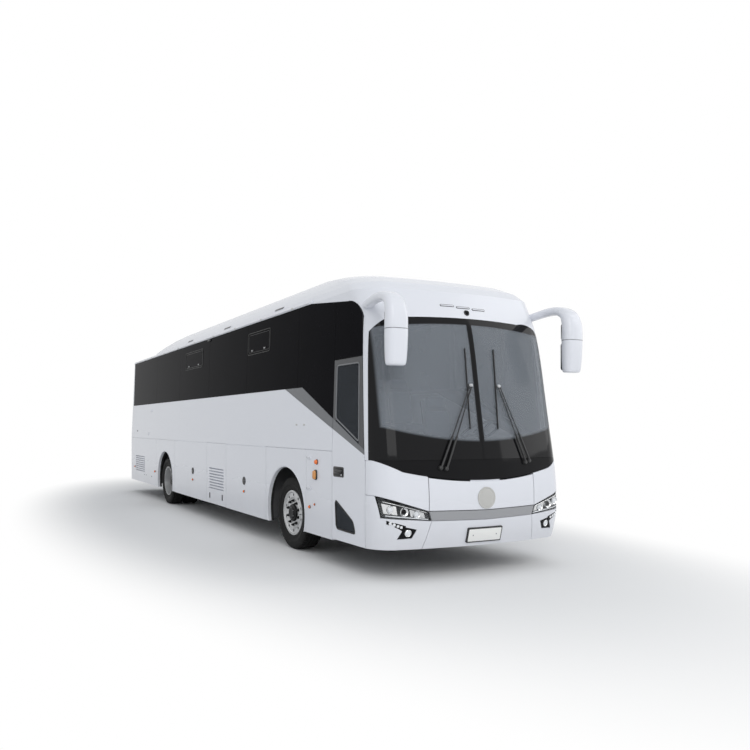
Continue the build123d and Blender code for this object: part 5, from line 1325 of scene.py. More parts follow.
def fit_mirrors():
    """Hanging mirrors, each one smooth hooked case with two glasses at its back and a seam round it."""
    mirrors = Shape()
    for side in SIDES.values():
        loops = []
        for x, out, z, pitch, width, depth in eased(MIRROR_ROWS, MIRROR_STEPS):
            lift = Vector((-sin(radians(pitch)), 0, cos(radians(pitch))))
            middle = Vector((x, side * out, z))
            section = rounded(width, depth, depth * MIRROR_CORNER)
            loops.append([middle + Vector((0, across, 0)) + lift * up for across, up in section])
        mirrors.loft(loops, "body")
        fit_mirror_trims(mirrors, Shape().loft(loops, "body"), side)
    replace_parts(mirrors.piece("hanging_mirrors", "coach", "white_paint"), "mirrors")


def fit_mirror_trims(mirrors, case, side):
    """The glasses with their gaskets, and the case's seam."""
    tree = BVHTree.FromPolygons(case.points, case.faces)
    x, out = MIRROR_AXIS
    for z, width, height in MIRROR_GLASSES:
        point = tree.ray_cast(Vector((x - 1, side * out, z)), Vector((1, 0, 0)))[0]
        seat = axle_frame(point, (-1, 0, 0))
        gasket = (width + MIRROR_GASKET, height + MIRROR_GASKET, 0.03, 0.005, 0.002)
        mirrors.pad(seat, gasket, "dark_trim", sunk=MIRROR_GASKET_SUNK)
        glass = (width, height, 0.022, 0.003, 0.001)
        mirrors.pad(moved(seat, 0, 0, MIRROR_GLASS_RISE), glass, "mirror_glass")
    seam = []
    for across, up in circle(1.0, MIRROR_SEAM_STEPS):
        away = Vector((across, up, 0))
        start = Vector((x, side * out, MIRROR_SEAM_Z)) + away
        seam.append(tree.ray_cast(start, -away)[0])
    mirrors.bead(seam, MIRROR_SEAM, "seal", closed=True, sides=6)


# across and up: the feet of the two arms, the knot on the blade, the blade's top and its bottom
WIPERS = (
    ((-0.572, 1.187), (-0.505, 1.176), (-0.092, 2.076), (-0.114, 2.490), (-0.151, 1.596)),
    ((0.593, 1.222), (0.655, 1.236), (0.303, 2.075), (0.292, 2.493), (0.235, 1.595)),
)
WIPER_STEPS = 8
WIPER_SPLAY = 0.014  # each arm's step aside from the knot
WIPER_ARM_LIFT = 0.026
WIPER_ARM = 0.0062
WIPER_SLEEVE = 0.0115  # thicker foot of an arm, over its first few steps
WIPER_SLEEVE_STEPS = 4
WIPER_PIVOT = ((0.026, -0.004), (0.026, 0.016), (0.020, 0.030), (0.008, 0.034))
WIPER_KNUCKLE = (0.050, 0.036, 0.012, 0.024, 0.006)
WIPER_KNUCKLE_RISE = 0.008
WIPER_BLADES = ((0.007, 0.0055, "seal"), (0.016, 0.0065, "dark_trim"))  # lift, radius, finish


def fit_wipers():
    """Two wipers, each with a pair of arms on covered pivots, a bright knuckle and a long blade."""
    glass = Skin({name: frame["nodes"][name] for name in ("windscreen", "wiper_panel", "screen_divider")})
    wipers = Shape()
    for first, second, knot, top, foot in WIPERS:
        for base, shift in ((first, -WIPER_SPLAY), (second, WIPER_SPLAY)):
            arm = screen_line(glass, base, (knot[0] + shift, knot[1]), WIPER_ARM_LIFT)
            wipers.bead(arm, WIPER_ARM, "dark_trim")
            wipers.bead(arm[:WIPER_SLEEVE_STEPS], WIPER_SLEEVE, "dark_trim", sides=10)
            owner, seat = glass.front(*base)
            wipers.turned(seat, WIPER_PIVOT, "dark_trim", 24)
        owner, seat = glass.front(*knot)
        wipers.pad(moved(seat, 0, 0, WIPER_KNUCKLE_RISE), WIPER_KNUCKLE, "steel")
        for lift, radius, look in WIPER_BLADES:
            wipers.bead(screen_line(glass, foot, top, lift), radius, look, sides=6)
    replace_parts(wipers.piece("screen_wipers", "coach", "trim_black"), "wipers")


def screen_line(glass, start, end, lift):
    """A run over the windscreen between two points, held off the glass."""
    path = []
    for share in spread(0, 1, WIPER_STEPS):
        y, z = Vector(start).lerp(Vector(end), share)
        owner, point, out = glass.hit((FAR * 3, y, z), (-1, 0, 0))
        path.append(point + out * lift)
    return path


# distance behind the corner seam, foot and head of each joint between side panels
SIDE_SEAMS = (
    (0.006, 0.34, 1.26), (0.7565, 0.34, 1.335), (1.441, 0.32, 1.335), (2.729, 0.32, 1.335),
    (4.3945, 0.32, 1.335), (5.3815, 0.32, 1.335), (7.4245, 0.32, 1.335), (8.907, 0.32, 1.335),
    (11.22, 0.32, 1.335),
)
# front seams: foot and head, each out from the middle and up, and a step aside to a panel's skin
FRONT_SEAMS = (((0.7175, 0.745), (0.7175, 1.105), 0.016), ((0.7550, 0.335), (0.688, 0.622), 0.012))
SEAM_BEAD = 0.0026
SEAM_DEPTH = 0.010
SEAM_STEPS = 16


def fit_seams(skin):
    """Dark strips in the seal rubber finish, sunk in the joints between panels: painted shade in the gaps.
    """
    seams = Shape()
    for side in SIDES.values():
        # the dark strips sunk in each joint are painted shade in the gap
        y = side * (HALF - SEAM_DEPTH)
        for back, low, high in SIDE_SEAMS:
            x = X_CORNER - back
            seams.bead([(x, y, low), (x, y, high)], SEAM_BEAD, "seal", sides=6)
        for foot, head, aside in FRONT_SEAMS:
            path = []
            for share in spread(0, 1, SEAM_STEPS):
                across, z = Vector(foot).lerp(Vector(head), share)
                skin_x = skin.front_point(side * (across + aside), z).x
                path.append((skin_x - SEAM_DEPTH + aside / 4, side * across, z))
            seams.bead(path, SEAM_BEAD, "seal", sides=6)
    seams.piece("seam_strips", "coach", "trim_black")


class COACH_OT_front(bpy.types.Operator):
    """Fit the lamps, badge, plate, brow slots, mirrors, wipers and seam strips to the front"""

    bl_idname = "coach.front"
    bl_label = "Front fittings"

    def execute(self, context):
        skin = Skin(frame["nodes"])
        fit_headlamps(skin)
        fit_fog_lamps(skin)
        fit_front_plates(skin)
        fit_brow(skin)
        fit_mirrors()
        fit_wipers()
        fit_seams(skin)
        return {"FINISHED"}


FRONT_TRACK_Y = 1.05
REAR_TRACK_Y = 1.085
TWIN_PITCH = 0.32
TYRE_RADIUS = 0.479
TYRE_STEPS = 72
# radius and half width along a tyre's section, from its bead to its shoulder
SIDEWALL = (
    (0.297, 0.098), (0.303, 0.112), (0.318, 0.119), (0.321, 0.122), (0.327, 0.122), (0.330, 0.1215),
    (0.372, 0.1325), (0.374, 0.1345), (0.392, 0.1370), (0.394, 0.1350), (0.420, 0.1345), (0.440, 0.130),
    (0.455, 0.123), (0.4645, 0.115),
)
SHOULDER = 0.110  # half width of the tread's floor
RIB = (0.026, 0.070)  # inner and outer half width of the ribs beside the middle one
MIDDLE_RIB = 0.018
GROOVE = 0.002
BLOCK_HALF = 0.31  # half a shoulder block's share of its pitch
# half width of a shoulder block's section, and its depth below the tyre's radius
BLOCK_SECTION = (
    (0.078, 0.014), (0.078, 0.0), (0.108, 0.002), (0.121, 0.014), (0.119, 0.026), (0.108, 0.022),
)


def make_tyres(name, node, centres, side, sizes):
    """Tyres with ribbed sidewalls, three ribs and a ring of blocks on each shoulder."""
    tyres = Shape()
    floor = TYRE_RADIUS - sizes.tread_depth
    rib_in, rib_out = RIB
    half = [
        *SIDEWALL, (floor, SHOULDER),
        (floor, rib_out + GROOVE), (TYRE_RADIUS, rib_out), (TYRE_RADIUS, rib_in), (floor, rib_in - GROOVE),
        (floor, MIDDLE_RIB + GROOVE), (TYRE_RADIUS, MIDDLE_RIB),
    ]
    profile = half + [(radius, -width) for radius, width in reversed(half)]
    turn = 2 * pi / sizes.tread_pitches
    reach = BLOCK_HALF * turn
    for centre in centres:
        tyres.hoop(rings(axle_frame(centre, (0, side, 0)), profile, TYRE_STEPS), "rubber")
        for end in (-1, 1):
            block = Shape().loft([block_loop(angle, end) for angle in (-reach, reach)], "rubber")
            tyres.row(block, "rubber", sizes.tread_pitches, centre, axis=(0, 1, 0), turn=turn)
    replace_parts(tyres.piece(f"treaded_{node}_{name}", f"wheel_{name}", "rubber"), f"{node}_{name}")


def block_loop(angle, end):
    """One end of a shoulder block, turned about the wheel's axis."""
    return [
        Vector(((TYRE_RADIUS - depth) * sin(angle), end * width, (TYRE_RADIUS - depth) * cos(angle)))
        for width, depth in BLOCK_SECTION
    ]


# radius and height outboard of the mid-plane, from the rim's lip to the hub
FACE_FLANGE = ((0.2805, 0.096), (0.2795, 0.113), (0.273, 0.1145), (0.266, 0.107), (0.261, 0.102))
FACE_STEP = (
    (0.212, 0.102), (0.208, 0.109), (0.202, 0.111), (0.195, 0.107), (0.189, 0.100), (0.118, 0.100),
    (0.110, 0.092),
)
FACE_STEPS = 60
FACE_HOLES = (10, 0.237, 0.019)  # number, radius of their circle, radius of each
FACE_HOLE_DEPTH = 0.016


def make_face(name, centre, side):
    """A steered wheel's outer face: a rolled flange, a flat ring with hand holes and a raised step."""
    face = Shape()
    seat = axle_frame(centre, (0, side, 0))
    for profile in (FACE_FLANGE, FACE_STEP):
        face.loft(rings(seat, profile, FACE_STEPS), "alloy", closed=False)
    inner, level = FACE_STEP[0]
    outer = FACE_FLANGE[-1][0]
    face.holed_ring(seat, (inner, outer), level, FACE_HOLES, FACE_HOLE_DEPTH, "alloy")
    face.piece(f"wheel_face_{name}", f"wheel_{name}", "alloy")


# wheel disc's and hub's face outboard of the tyre's mid-plane, then the nuts' circle and finish
FRONT_HUB = (0.100, 0.116, 0.160, "hub")
REAR_HUB = (-0.088, 0.040, 0.142, "steel")
HUB_RADIUS = 0.108
HUB_LIP = 0.004
# shares of the hub's radius and heights over its face
HUB_CAP = ((1, 0.008), (0.80, 0.012), (0.74, 0.022), (0.58, 0.028), (0.50, 0.026), (0.1, 0.027))
HUB_SCREWS = 6
HUB_SCREW = ((0.006, 0), (0.006, 0.008), (0.004, 0.009))
HUB_SCREW_CIRCLE = HUB_RADIUS * 0.68
HUB_SCREW_RISE = 0.018
WASHER = ((0.021, -0.002), (0.021, 0.004), (0.018, 0.006))
STUD = ((0.0095, 0.02), (0.0095, 0.036), (0.007, 0.038))
VALVE = ((0.006, -0.02), (0.006, 0.035), (0.004, 0.04))
VALVE_CIRCLE = 0.24


def make_hub(name, centre, side, hub, sizes):
    """Hub cap with its screws, wheel nuts on their washers and a valve."""
    disc, face, nut_circle, look = hub
    trims = Shape()
    seat = axle_frame(centre, (0, side, 0))
    skirt = HUB_RADIUS + HUB_LIP
    cap = [(share * HUB_RADIUS, face + height) for share, height in HUB_CAP]
    trims.turned(seat, [(skirt, face - 0.030), (skirt, face + 0.002), *cap], "hub", 44)
    flip = axle_frame((0, 0, 0), (0, side, 0))
    place = moved(flip, 0, nut_circle, disc)
    radius = sizes.nut_radius
    nut = ((radius, 0.004), (radius, 0.022), (radius * 0.85, 0.025))
    for profile, corners in ((WASHER, 18), (nut, 6), (STUD, 12)):
        form = Shape().turned(place, profile, look, corners)
        trims.row(form, look, sizes.nuts, centre, axis=(0, 1, 0), turn=2 * pi / sizes.nuts)
    screw = Shape().turned(moved(flip, 0, HUB_SCREW_CIRCLE, face + HUB_SCREW_RISE), HUB_SCREW, "steel", 6)
    trims.row(screw, "steel", HUB_SCREWS, centre, axis=(0, 1, 0), turn=2 * pi / HUB_SCREWS)
    trims.turned(moved(seat, VALVE_CIRCLE, 0, disc), VALVE, "steel", 12)
    trims.piece(f"hub_trim_{name}", f"wheel_{name}", "trim_black")


class COACH_OT_wheels(bpy.types.Operator):
    """Make the treaded tyres, wheel faces, hub caps and wheel nuts"""

    bl_idname = "coach.wheels"
    bl_label = "Wheels"

    def execute(self, context):
        sizes = context.scene.coach_sizes
        for name, side in SIDES.items():
            front = (AXLES_X[0], side * FRONT_TRACK_Y, TYRE_RADIUS)
            rear = (AXLES_X[1], side * REAR_TRACK_Y, TYRE_RADIUS)
            inner = (AXLES_X[1], side * (REAR_TRACK_Y - TWIN_PITCH), TYRE_RADIUS)
            make_tyres(f"front_{name}", "tyre", (front,), side, sizes)
            make_tyres(f"rear_{name}", "tyres", (rear, inner), side, sizes)
            make_face(f"front_{name}", front, side)
            make_hub(f"front_{name}", front, side, FRONT_HUB, sizes)
            make_hub(f"rear_{name}", rear, side, REAR_HUB, sizes)
        return {"FINISHED"}


FLOOR_Z = 1.24
PLATFORM_Z = 0.915
SEAT_FIRST = 2.15
SEAT_PITCH = 0.79
SEAT_ROWS = 11
SEAT_MIDDLE = 0.7375
SEAT_PLACES = (-0.2188, 0.2188)
DRIVER_FRONT = 0.76
DRIVER_Y = 0.64
SEAT_SAG = 0.067
SEAT_RECLINE = 0.211
# size, middle behind and above the seat's front edge on the floor, lean, how far stuffing may swell
PADS = {
    "cushion": ((0.430, 0.405, 0.080), (-0.228, 0.0, 0.365), SEAT_SAG, 0.016),
    "back": ((0.070, 0.405, 0.520), (-0.553, 0.0, 0.675), -SEAT_RECLINE, 0.014),
    "headrest": ((0.065, 0.290, 0.155), (-0.633, 0.0, 1.030), -SEAT_RECLINE, 0.012),
}
PAD_LEVELS = ((-0.5, 0.012), (-0.36, 0.0), (0.36, 0.0), (0.5, 0.012))  # share of the height, inset
PAD_CORNER = 0.03
VOXEL = 0.022
SWELL_FRAMES = 20
SWELL_PRESSURE = 4.0
CHANNELS = (-0.17, 0.17)  # sewn channels, as shares of the pad's longer way
CHANNEL_HALF = 0.045
CHANNEL_DEPTH = 0.007


def stuffed(size, middle, lean, swell):
    """A pad blown up as cloth from a rounded block, with its sewn channels."""
    length, width, height = size
    block = Shape()
    loops = []
    for level, inset in PAD_LEVELS:
        outline = rounded(length - 2 * inset, width - 2 * inset, min(PAD_CORNER, length / 3))
        loops.append([(across, up, level * height) for across, up in outline])
    block.loft(loops, "cloth")
    source = bpy.data.objects.new("pad", block.mesh("pad"))
    bpy.context.scene.collection.objects.link(source)
    remesh = source.modifiers.new("remesh", "REMESH")
    remesh.mode = "VOXEL"
    remesh.voxel_size = VOXEL
    start = bpy.data.meshes.new_from_object(source.evaluated_get(bpy.context.evaluated_depsgraph_get()))
    source.modifiers.remove(remesh)
    source.data = start
    swollen = blown(source, swell)
    for vertex, point in zip(start.vertices, swollen):
        vertex.co = point
    bpy.data.objects.remove(source)
    crown(start, size)
    start.transform(Matrix.Translation(middle) @ Matrix.Rotation(lean, 4, "Y"))
    return start


def blown(source, swell):
    """Where a pad's points end when it is blown up as cloth, each kept within a short move."""
    rest = [vertex.co.copy() for vertex in source.data.vertices]
    cloth_modifier = source.modifiers.new("stuffing", "CLOTH")
    cloth_modifier.settings.use_pressure = True
    cloth_modifier.settings.uniform_pressure_force = SWELL_PRESSURE
    cloth_modifier.settings.effector_weights.gravity = 0.0
    cloth_modifier.point_cache.frame_start = 1
    cloth_modifier.point_cache.frame_end = SWELL_FRAMES
    scene = bpy.context.scene
    for step in range(1, SWELL_FRAMES + 1):
        scene.frame_set(step)
    graph = bpy.context.evaluated_depsgraph_get()
    moved_mesh = source.evaluated_get(graph).to_mesh()
    points = []
    for before, vertex in zip(rest, moved_mesh.vertices):
        move = vertex.co - before
        if move.length > swell:
            move *= swell / move.length
        points.append(before + move)
    source.evaluated_get(graph).to_mesh_clear()
    source.modifiers.remove(cloth_modifier)
    scene.frame_set(1)
    return points


def crown(mesh, size):
    """Draw in two sewn channels across a pad's broad face."""
    length, width, height = size
    lying = length > height
    for vertex in mesh.vertices:
        x, y, z = vertex.co
        run = x / length if lying else z / height
        for channel in CHANNELS:
            pull = CHANNEL_DEPTH * max(0.0, 1.0 - abs(run - channel) / CHANNEL_HALF)
            if lying and z > 0:
                vertex.co.z -= pull
            if not lying and x > 0:
                vertex.co.x -= pull
    mesh.polygons.foreach_set("use_smooth", [True] * len(mesh.polygons))


def make_row(name, pads, first, places, rows):
    """Rows of seats: stuffed pads in one piece for each kind, and their shells and legs in another."""
    step = (-SEAT_PITCH, 0, 0)
    starts = [Vector(first) + Vector((0, place, 0)) for place in places]
    for kind, mesh in pads.items():
        shape = Shape()
        form = Shape().take(mesh, "cloth")
        for start in starts:
            shape.row(form, "cloth", rows, start, step)
        made = shape.piece(f"{name}_{kind}s", "coach", "seat_cloth")
        made.data.polygons.foreach_set("use_smooth", [True] * len(made.data.polygons))
        if kind == "cushion":
            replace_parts(made, name)
    shells = Shape()
    for start in starts:
        shells.row(seat_shell(), "trim", rows, start, step)
        shells.row(seat_handle(), "dark_trim", rows, start, step)
    shells.row(seat_legs(), "chassis", rows, first, step)
    shells.piece(f"{name}_shells", "coach", "trim_black")


BACK_SHELL = (0.70, 0.40, 0.05, 0.018, 0.008)
BACK_PLACE = (-0.622, 0, 0.73)
PAN_SHELL = (0.42, 0.40, 0.04, 0.012, 0.004)
PAN_PLACE = (-0.228, 0, 0.322)
SHELL_SUNK = 0.012
SEAT_GRIP = ((-0.700, -0.10, 0.99), (-0.730, -0.085, 1.02), (-0.730, 0.085, 1.02), (-0.700, 0.10, 0.99))
SEAT_GRIP_RADIUS = 0.011
LEG_PLACE = (-0.21, 0, 0.0)
LEG_FOOT = (0.20, 0.10, 0.02, 0.012, 0.004)
LEG_POST = (0.11, 0.055, 0.02, 0.312, 0.004)


def seat_shell():
    """Moulded back and pan of one seat place."""
    shell = Shape()
    lean = Matrix.Rotation(-SEAT_RECLINE, 4, "Y")
    back = Matrix.Translation(BACK_PLACE) @ lean @ Matrix.Rotation(-pi / 2, 4, "Y")
    shell.pad(back, BACK_SHELL, "trim", sunk=SHELL_SUNK)
    pan = Matrix.Translation(PAN_PLACE) @ Matrix.Rotation(SEAT_SAG, 4, "Y")
    shell.pad(pan, PAN_SHELL, "trim", sunk=SHELL_SUNK)
    return shell


def seat_handle():
    """Grab handle on the back of one seat place."""
    return Shape().bead(SEAT_GRIP, SEAT_GRIP_RADIUS, "dark_trim")


def seat_legs():
    """Pedestal under one double seat."""
    legs = Shape()
    for size in (LEG_FOOT, LEG_POST):
        legs.pad(Matrix.Translation(LEG_PLACE), size, "chassis", sunk=0.0)
    return legs


class COACH_OT_seats(bpy.types.Operator):
    """Make the stuffed seats, their shells and the driver's seat"""

    bl_idname = "coach.seats"
    bl_label = "Seats"

    def execute(self, context):
        pads = {name: stuffed(*PADS[name]) for name in PADS}
        for name, side in SIDES.items():
            first = (X_CORNER - SEAT_FIRST, side * SEAT_MIDDLE, FLOOR_Z)
            make_row(f"seats_{name}", pads, first, SEAT_PLACES, SEAT_ROWS)
        driver = (X_CORNER - DRIVER_FRONT, DRIVER_Y, PLATFORM_Z)
        make_row("driver_seat", pads, driver, (0.0,), 1)
        return {"FINISHED"}


TAIL_LAMP_Y = 1.08
# height of each lamp in the tail cluster, its finish
TAIL_LAMPS = ((1.52, "red"), (1.345, "amber"), (1.17, "red"), (0.985, "bright"))
TAIL_LAMP_RADIUS = 0.054
TAIL_LAMP_RING = ((1, -0.003), (1, 0.007), (0.93, 0.010), (0.86, 0.007))
TAIL_LAMP_DOME = ((0.85, 0.004), (0.82, 0.010), (0.6, 0.015), (0.2, 0.017))
TAIL_REFLECTOR = (0.92, 0.50)
TAIL_REFLECTOR_CASE = (0.15, 0.05, 0.012, 0.009, 0.003)
TAIL_REFLECTOR_LENS = (0.135, 0.038, 0.008, 0.005, 0.002)
TAIL_REFLECTOR_RISE = 0.007
HIGH_LAMP_Z = 3.04
HIGH_LAMP_CASE = (0.36, 0.045, 0.012, 0.016, 0.005)
HIGH_LAMP_LENS = (0.33, 0.026, 0.008, 0.007, 0.002)
HIGH_LAMP_RISE = 0.012
REAR_PLATE = (0.0, 0.52)


def fit_tail_lamps(skin):
    """Round lamps in each tail cluster, reflectors, a high brake lamp and a blank plate."""
    lamps = Fittings("tail_lamp_lenses", "lamp_red")
    for side in SIDES.values():
        for z, look in TAIL_LAMPS:
            owner, seat = skin.rear(side * TAIL_LAMP_Y, z)
            shape = lamps.on(owner)
            shape.turned(seat, scaled(TAIL_LAMP_RING, TAIL_LAMP_RADIUS), "chrome", 32)
            shape.turned(seat, scaled(TAIL_LAMP_DOME, TAIL_LAMP_RADIUS), look, 32)
        owner, seat = skin.rear(side * TAIL_REFLECTOR[0], TAIL_REFLECTOR[1])
        lamps.on(owner).pad(seat, TAIL_REFLECTOR_CASE, "dark_trim")
        lamps.on(owner).pad(moved(seat, 0, 0, TAIL_REFLECTOR_RISE), TAIL_REFLECTOR_LENS, "red")
    owner, seat = skin.rear(0.0, HIGH_LAMP_Z)
    lamps.on(owner).pad(seat, HIGH_LAMP_CASE, "dark_trim")
    lamps.on(owner).pad(moved(seat, 0, 0, HIGH_LAMP_RISE), HIGH_LAMP_LENS, "red")
    fit_plate(lamps, *skin.rear(*REAR_PLATE))
    lamps.close()


MOTOR_SLATS = 9
MOTOR_SLAT = (1.10, 0.034, 0.012, 0.014, 0.006)
MOTOR_SLAT_TILT = 0.35
MOTOR_SHADOW = (1.12, 0.017, 0.006, 0.003, 0.001)  # dark gap under each slat
MOTOR_SHADOW_DROP = 0.42  # as a share of the step between slats
MOTOR_SLAT_STEP = 0.055
MOTOR_SLAT_Z = 0.86
TAIL_HANDLE = (0.0, 0.775)
TAIL_HANDLE_PLATE = (0.20, 0.055, 0.018, 0.006, 0.003)
TAIL_HANDLE_GRIP = (0.15, 0.022, 0.009, 0.012, 0.004)
TAIL_HANDLE_SHIFT = (0, 0.006, 0.005)


def fit_motor_louvres(skin):
    """Louvre slats and a handle on the motor door."""
    door = Fittings("motor_door_louvres", "white_paint")
    owner, low = skin.rear(0.0, MOTOR_SLAT_Z)
    owner, high = skin.rear(0.0, MOTOR_SLAT_Z + MOTOR_SLAT_STEP)
    shape = door.on(owner)
    turn = low.to_3x3().to_4x4()
    step = high.translation - low.translation
    shadow = Shape().pad(turn, MOTOR_SHADOW, "dark_trim")
    shape.row(shadow, "dark_trim", MOTOR_SLATS, low.translation - step * MOTOR_SHADOW_DROP, step)
    slat = Shape().pad(turn @ Matrix.Rotation(MOTOR_SLAT_TILT, 4, "X"), MOTOR_SLAT, "body")
    shape.row(slat, "body", MOTOR_SLATS, low.translation, step)
    owner, seat = skin.rear(*TAIL_HANDLE)
    door.on(owner).pad(seat, TAIL_HANDLE_PLATE, "dark_trim")
    door.on(owner).pad(moved(seat, *TAIL_HANDLE_SHIFT), TAIL_HANDLE_GRIP, "gloss_black")
    door.close()


class COACH_OT_tail(bpy.types.Operator):
    """Fit the tail's lamps, louvres, reflectors and plate"""

    bl_idname = "coach.tail"
    bl_label = "Tail fittings"

    def execute(self, context):
        skin = Skin(frame["nodes"])
        fit_tail_lamps(skin)
        fit_motor_louvres(skin)
        return {"FINISHED"}


FANS = ((1.55, 0.38), (1.55, -0.38), (0.15, 0.38), (0.15, -0.38))
FAN_RADIUS = 0.30
FAN_STEPS = 44
# shares of the fan's radius and heights
FAN_WELL = ((0.96, -0.012), (0.96, 0.002), (0.5, 0.002))
FAN_COLLAR = ((1, -0.012), (1, 0.012), (0.975, 0.017), (0.945, 0.014), (0.94, -0.012))
FAN_MOTOR = ((0.26, 0.0), (0.26, 0.012), (0.2, 0.017))
FAN_SPOKES = 20
FAN_SPOKE = ((FAN_RADIUS * 0.22, 0, 0.011), (FAN_RADIUS * 0.96, 0, 0.011))
FAN_SPOKE_RADIUS = 0.004
FAN_RINGS = (0.45, 0.62, 0.79)  # shares of the fan's radius
FAN_RING_RADIUS = 0.0035
FAN_RING_RISE = 0.012
HATCHES = (-5.05, -4.15)
HATCH_SEAL = (0.62, 0.80, 0.06, 0.020, 0.008)
HATCH_LID = (0.58, 0.76, 0.06, 0.032, 0.018)
HATCH_RISE = 0.018
AERIAL = (-5.62, 0.45)
AERIAL_FOOT = ((0.045, -0.005), (0.045, 0.012), (0.035, 0.024), (0.012, 0.034))


def fit_fan(roof, skin, x, y):
    """A fan opening with its raised collar, spoked guard and motor."""
    owner, seat = skin.top(x, y)
    shape = roof.on(owner)
    shape.turned(seat, scaled(FAN_WELL, FAN_RADIUS), "dark_trim", FAN_STEPS)
    shape.hoop(rings(seat, scaled(FAN_COLLAR, FAN_RADIUS), FAN_STEPS), "body")
    shape.turned(seat, scaled(FAN_MOTOR, FAN_RADIUS), "chassis")
    turn = seat.to_3x3()
    spoke = Shape().bead([turn @ Vector(end) for end in FAN_SPOKE], FAN_SPOKE_RADIUS, "dark_trim", sides=5)
    axis = tuple(turn @ Vector((0, 0, 1)))
    shape.row(spoke, "dark_trim", FAN_SPOKES, seat.translation, axis=axis, turn=2 * pi / FAN_SPOKES)
    for ring in rings(seat, [(FAN_RADIUS * share, FAN_RING_RISE) for share in FAN_RINGS], 36):
        shape.bead(ring, FAN_RING_RADIUS, "dark_trim", closed=True, sides=5)


class COACH_OT_roof(bpy.types.Operator):
    """Fit the fan grilles, hatches and aerial to the roof"""

    bl_idname = "coach.roof"
    bl_label = "Roof fittings"

    def execute(self, context):
        skin = Skin(frame["nodes"])
        roof = Fittings("roof_fittings", "white_paint")
        for x, y in FANS:
            fit_fan(roof, skin, x, y)
        for x in HATCHES:
            owner, seat = skin.top(x, 0.0)
            roof.on(owner).pad(seat, HATCH_SEAL, "seal")
            roof.on(owner).pad(moved(seat, 0, 0, HATCH_RISE), HATCH_LID, "body")
        owner, seat = skin.top(*AERIAL)
        roof.on(owner).turned(seat, AERIAL_FOOT, "dark_trim")
        roof.close()
        return {"FINISHED"}


DASH_TILT = 0.95
HOOD_PLACE = (5.30, DRIVER_Y, 1.36)
HOOD = (0.46, 0.20, 0.05, 0.06, 0.02)
HOOD_SUNK = 0.05
HOOD_GLASS = (0.40, 0.14, 0.03, 0.006, 0.002)
HOOD_GLASS_RISE = 0.056
DIALS = (-0.11, 0.11)
DIAL_RISE = 0.062
DIAL = ((0.056, 0), (0.056, 0.006), (0.052, 0.008), (0.050, 0.004))
DISPLAY_PLACE = (5.29, 0.15, 1.38)
DISPLAY = (0.30, 0.19, 0.015, 0.03, 0.006)
DISPLAY_SUNK = 0.04
DISPLAY_GLASS = (0.27, 0.16, 0.008, 0.004, 0.001)
DISPLAY_GLASS_RISE = 0.028
BUTTONS = 9
BUTTON = (0.026, 0.018, 0.004, 0.009, 0.003)
BUTTON_FIRST = (5.235, 0.30, 1.29)
BUTTON_STEP = (0, -0.04, 0)
STEERING_MIDDLE = (5.04, 0.64, 1.56)
STEERING_TILT = radians(32)
BOSS = ((0.072, -0.01), (0.074, 0.012), (0.066, 0.022), (0.045, 0.028), (0.012, 0.030))
BOSS_CAP = ((0.030, 0.027), (0.030, 0.032), (0.026, 0.034))


def dash_frame(place):
    """A frame on the dashboard, facing the driver."""
    return Matrix.Translation(place) @ Matrix.Rotation(-DASH_TILT, 4, "Y") @ Matrix.Rotation(pi / 2, 4, "Z")


class COACH_OT_cabin(bpy.types.Operator):
    """Fit the instruments, screen, buttons and steering wheel's trim"""

    bl_idname = "coach.cabin"
    bl_label = "Cabin fittings"

    def execute(self, context):
        cabin = Shape()
        hood = dash_frame(HOOD_PLACE)
        cabin.pad(hood, HOOD, "dark_trim", sunk=HOOD_SUNK)
        cabin.pad(moved(hood, 0, 0, HOOD_GLASS_RISE), HOOD_GLASS, "gloss_black")
        for across in DIALS:
            cabin.turned(moved(hood, across, 0, DIAL_RISE), DIAL, "chrome", 32)
        display = dash_frame(DISPLAY_PLACE)
        cabin.pad(display, DISPLAY, "dark_trim", sunk=DISPLAY_SUNK)
        cabin.pad(moved(display, 0, 0, DISPLAY_GLASS_RISE), DISPLAY_GLASS, "gloss_black")
        button = Shape().pad(hood.to_3x3().to_4x4(), BUTTON, "badge")
        cabin.row(button, "badge", BUTTONS, BUTTON_FIRST, BUTTON_STEP)
        cabin.piece("dash_fittings", "coach", "trim_black")
        wheel = Shape()
        tilt = Matrix.Translation(STEERING_MIDDLE) @ Matrix.Rotation(-STEERING_TILT, 4, "Y")
        wheel.turned(tilt, BOSS, "dark_trim", 36)
        wheel.turned(tilt, BOSS_CAP, "badge")
        wheel.piece("steering_boss", "steering_wheel", "trim_black")
        return {"FINISHED"}


FLOOR_REACH = 120.0
SHADOW_REACH = (7.4, 2.9)  # half length and half width of the floor that keeps the shadow
SHADOW_FADE = (0.75, 2.4)  # where it starts and ends going white, as shares of that reach, squared
WHITE = (1, 1, 1, 1)
SKY_TINT = (0.94, 0.97, 1.0, 1)
LIGHT_AIM = (0.0, 0.0, 1.5)
# place and size of each light
SOFTBOXES = {
    "key": ((17.0, -5.0, 9.0), 9.0),
    "fill": ((10.0, 12.0, 8.0), 10.0),
    "roof": ((-2.0, -6.0, 13.0), 14.0),
}
VIEW_REACH = 300.0


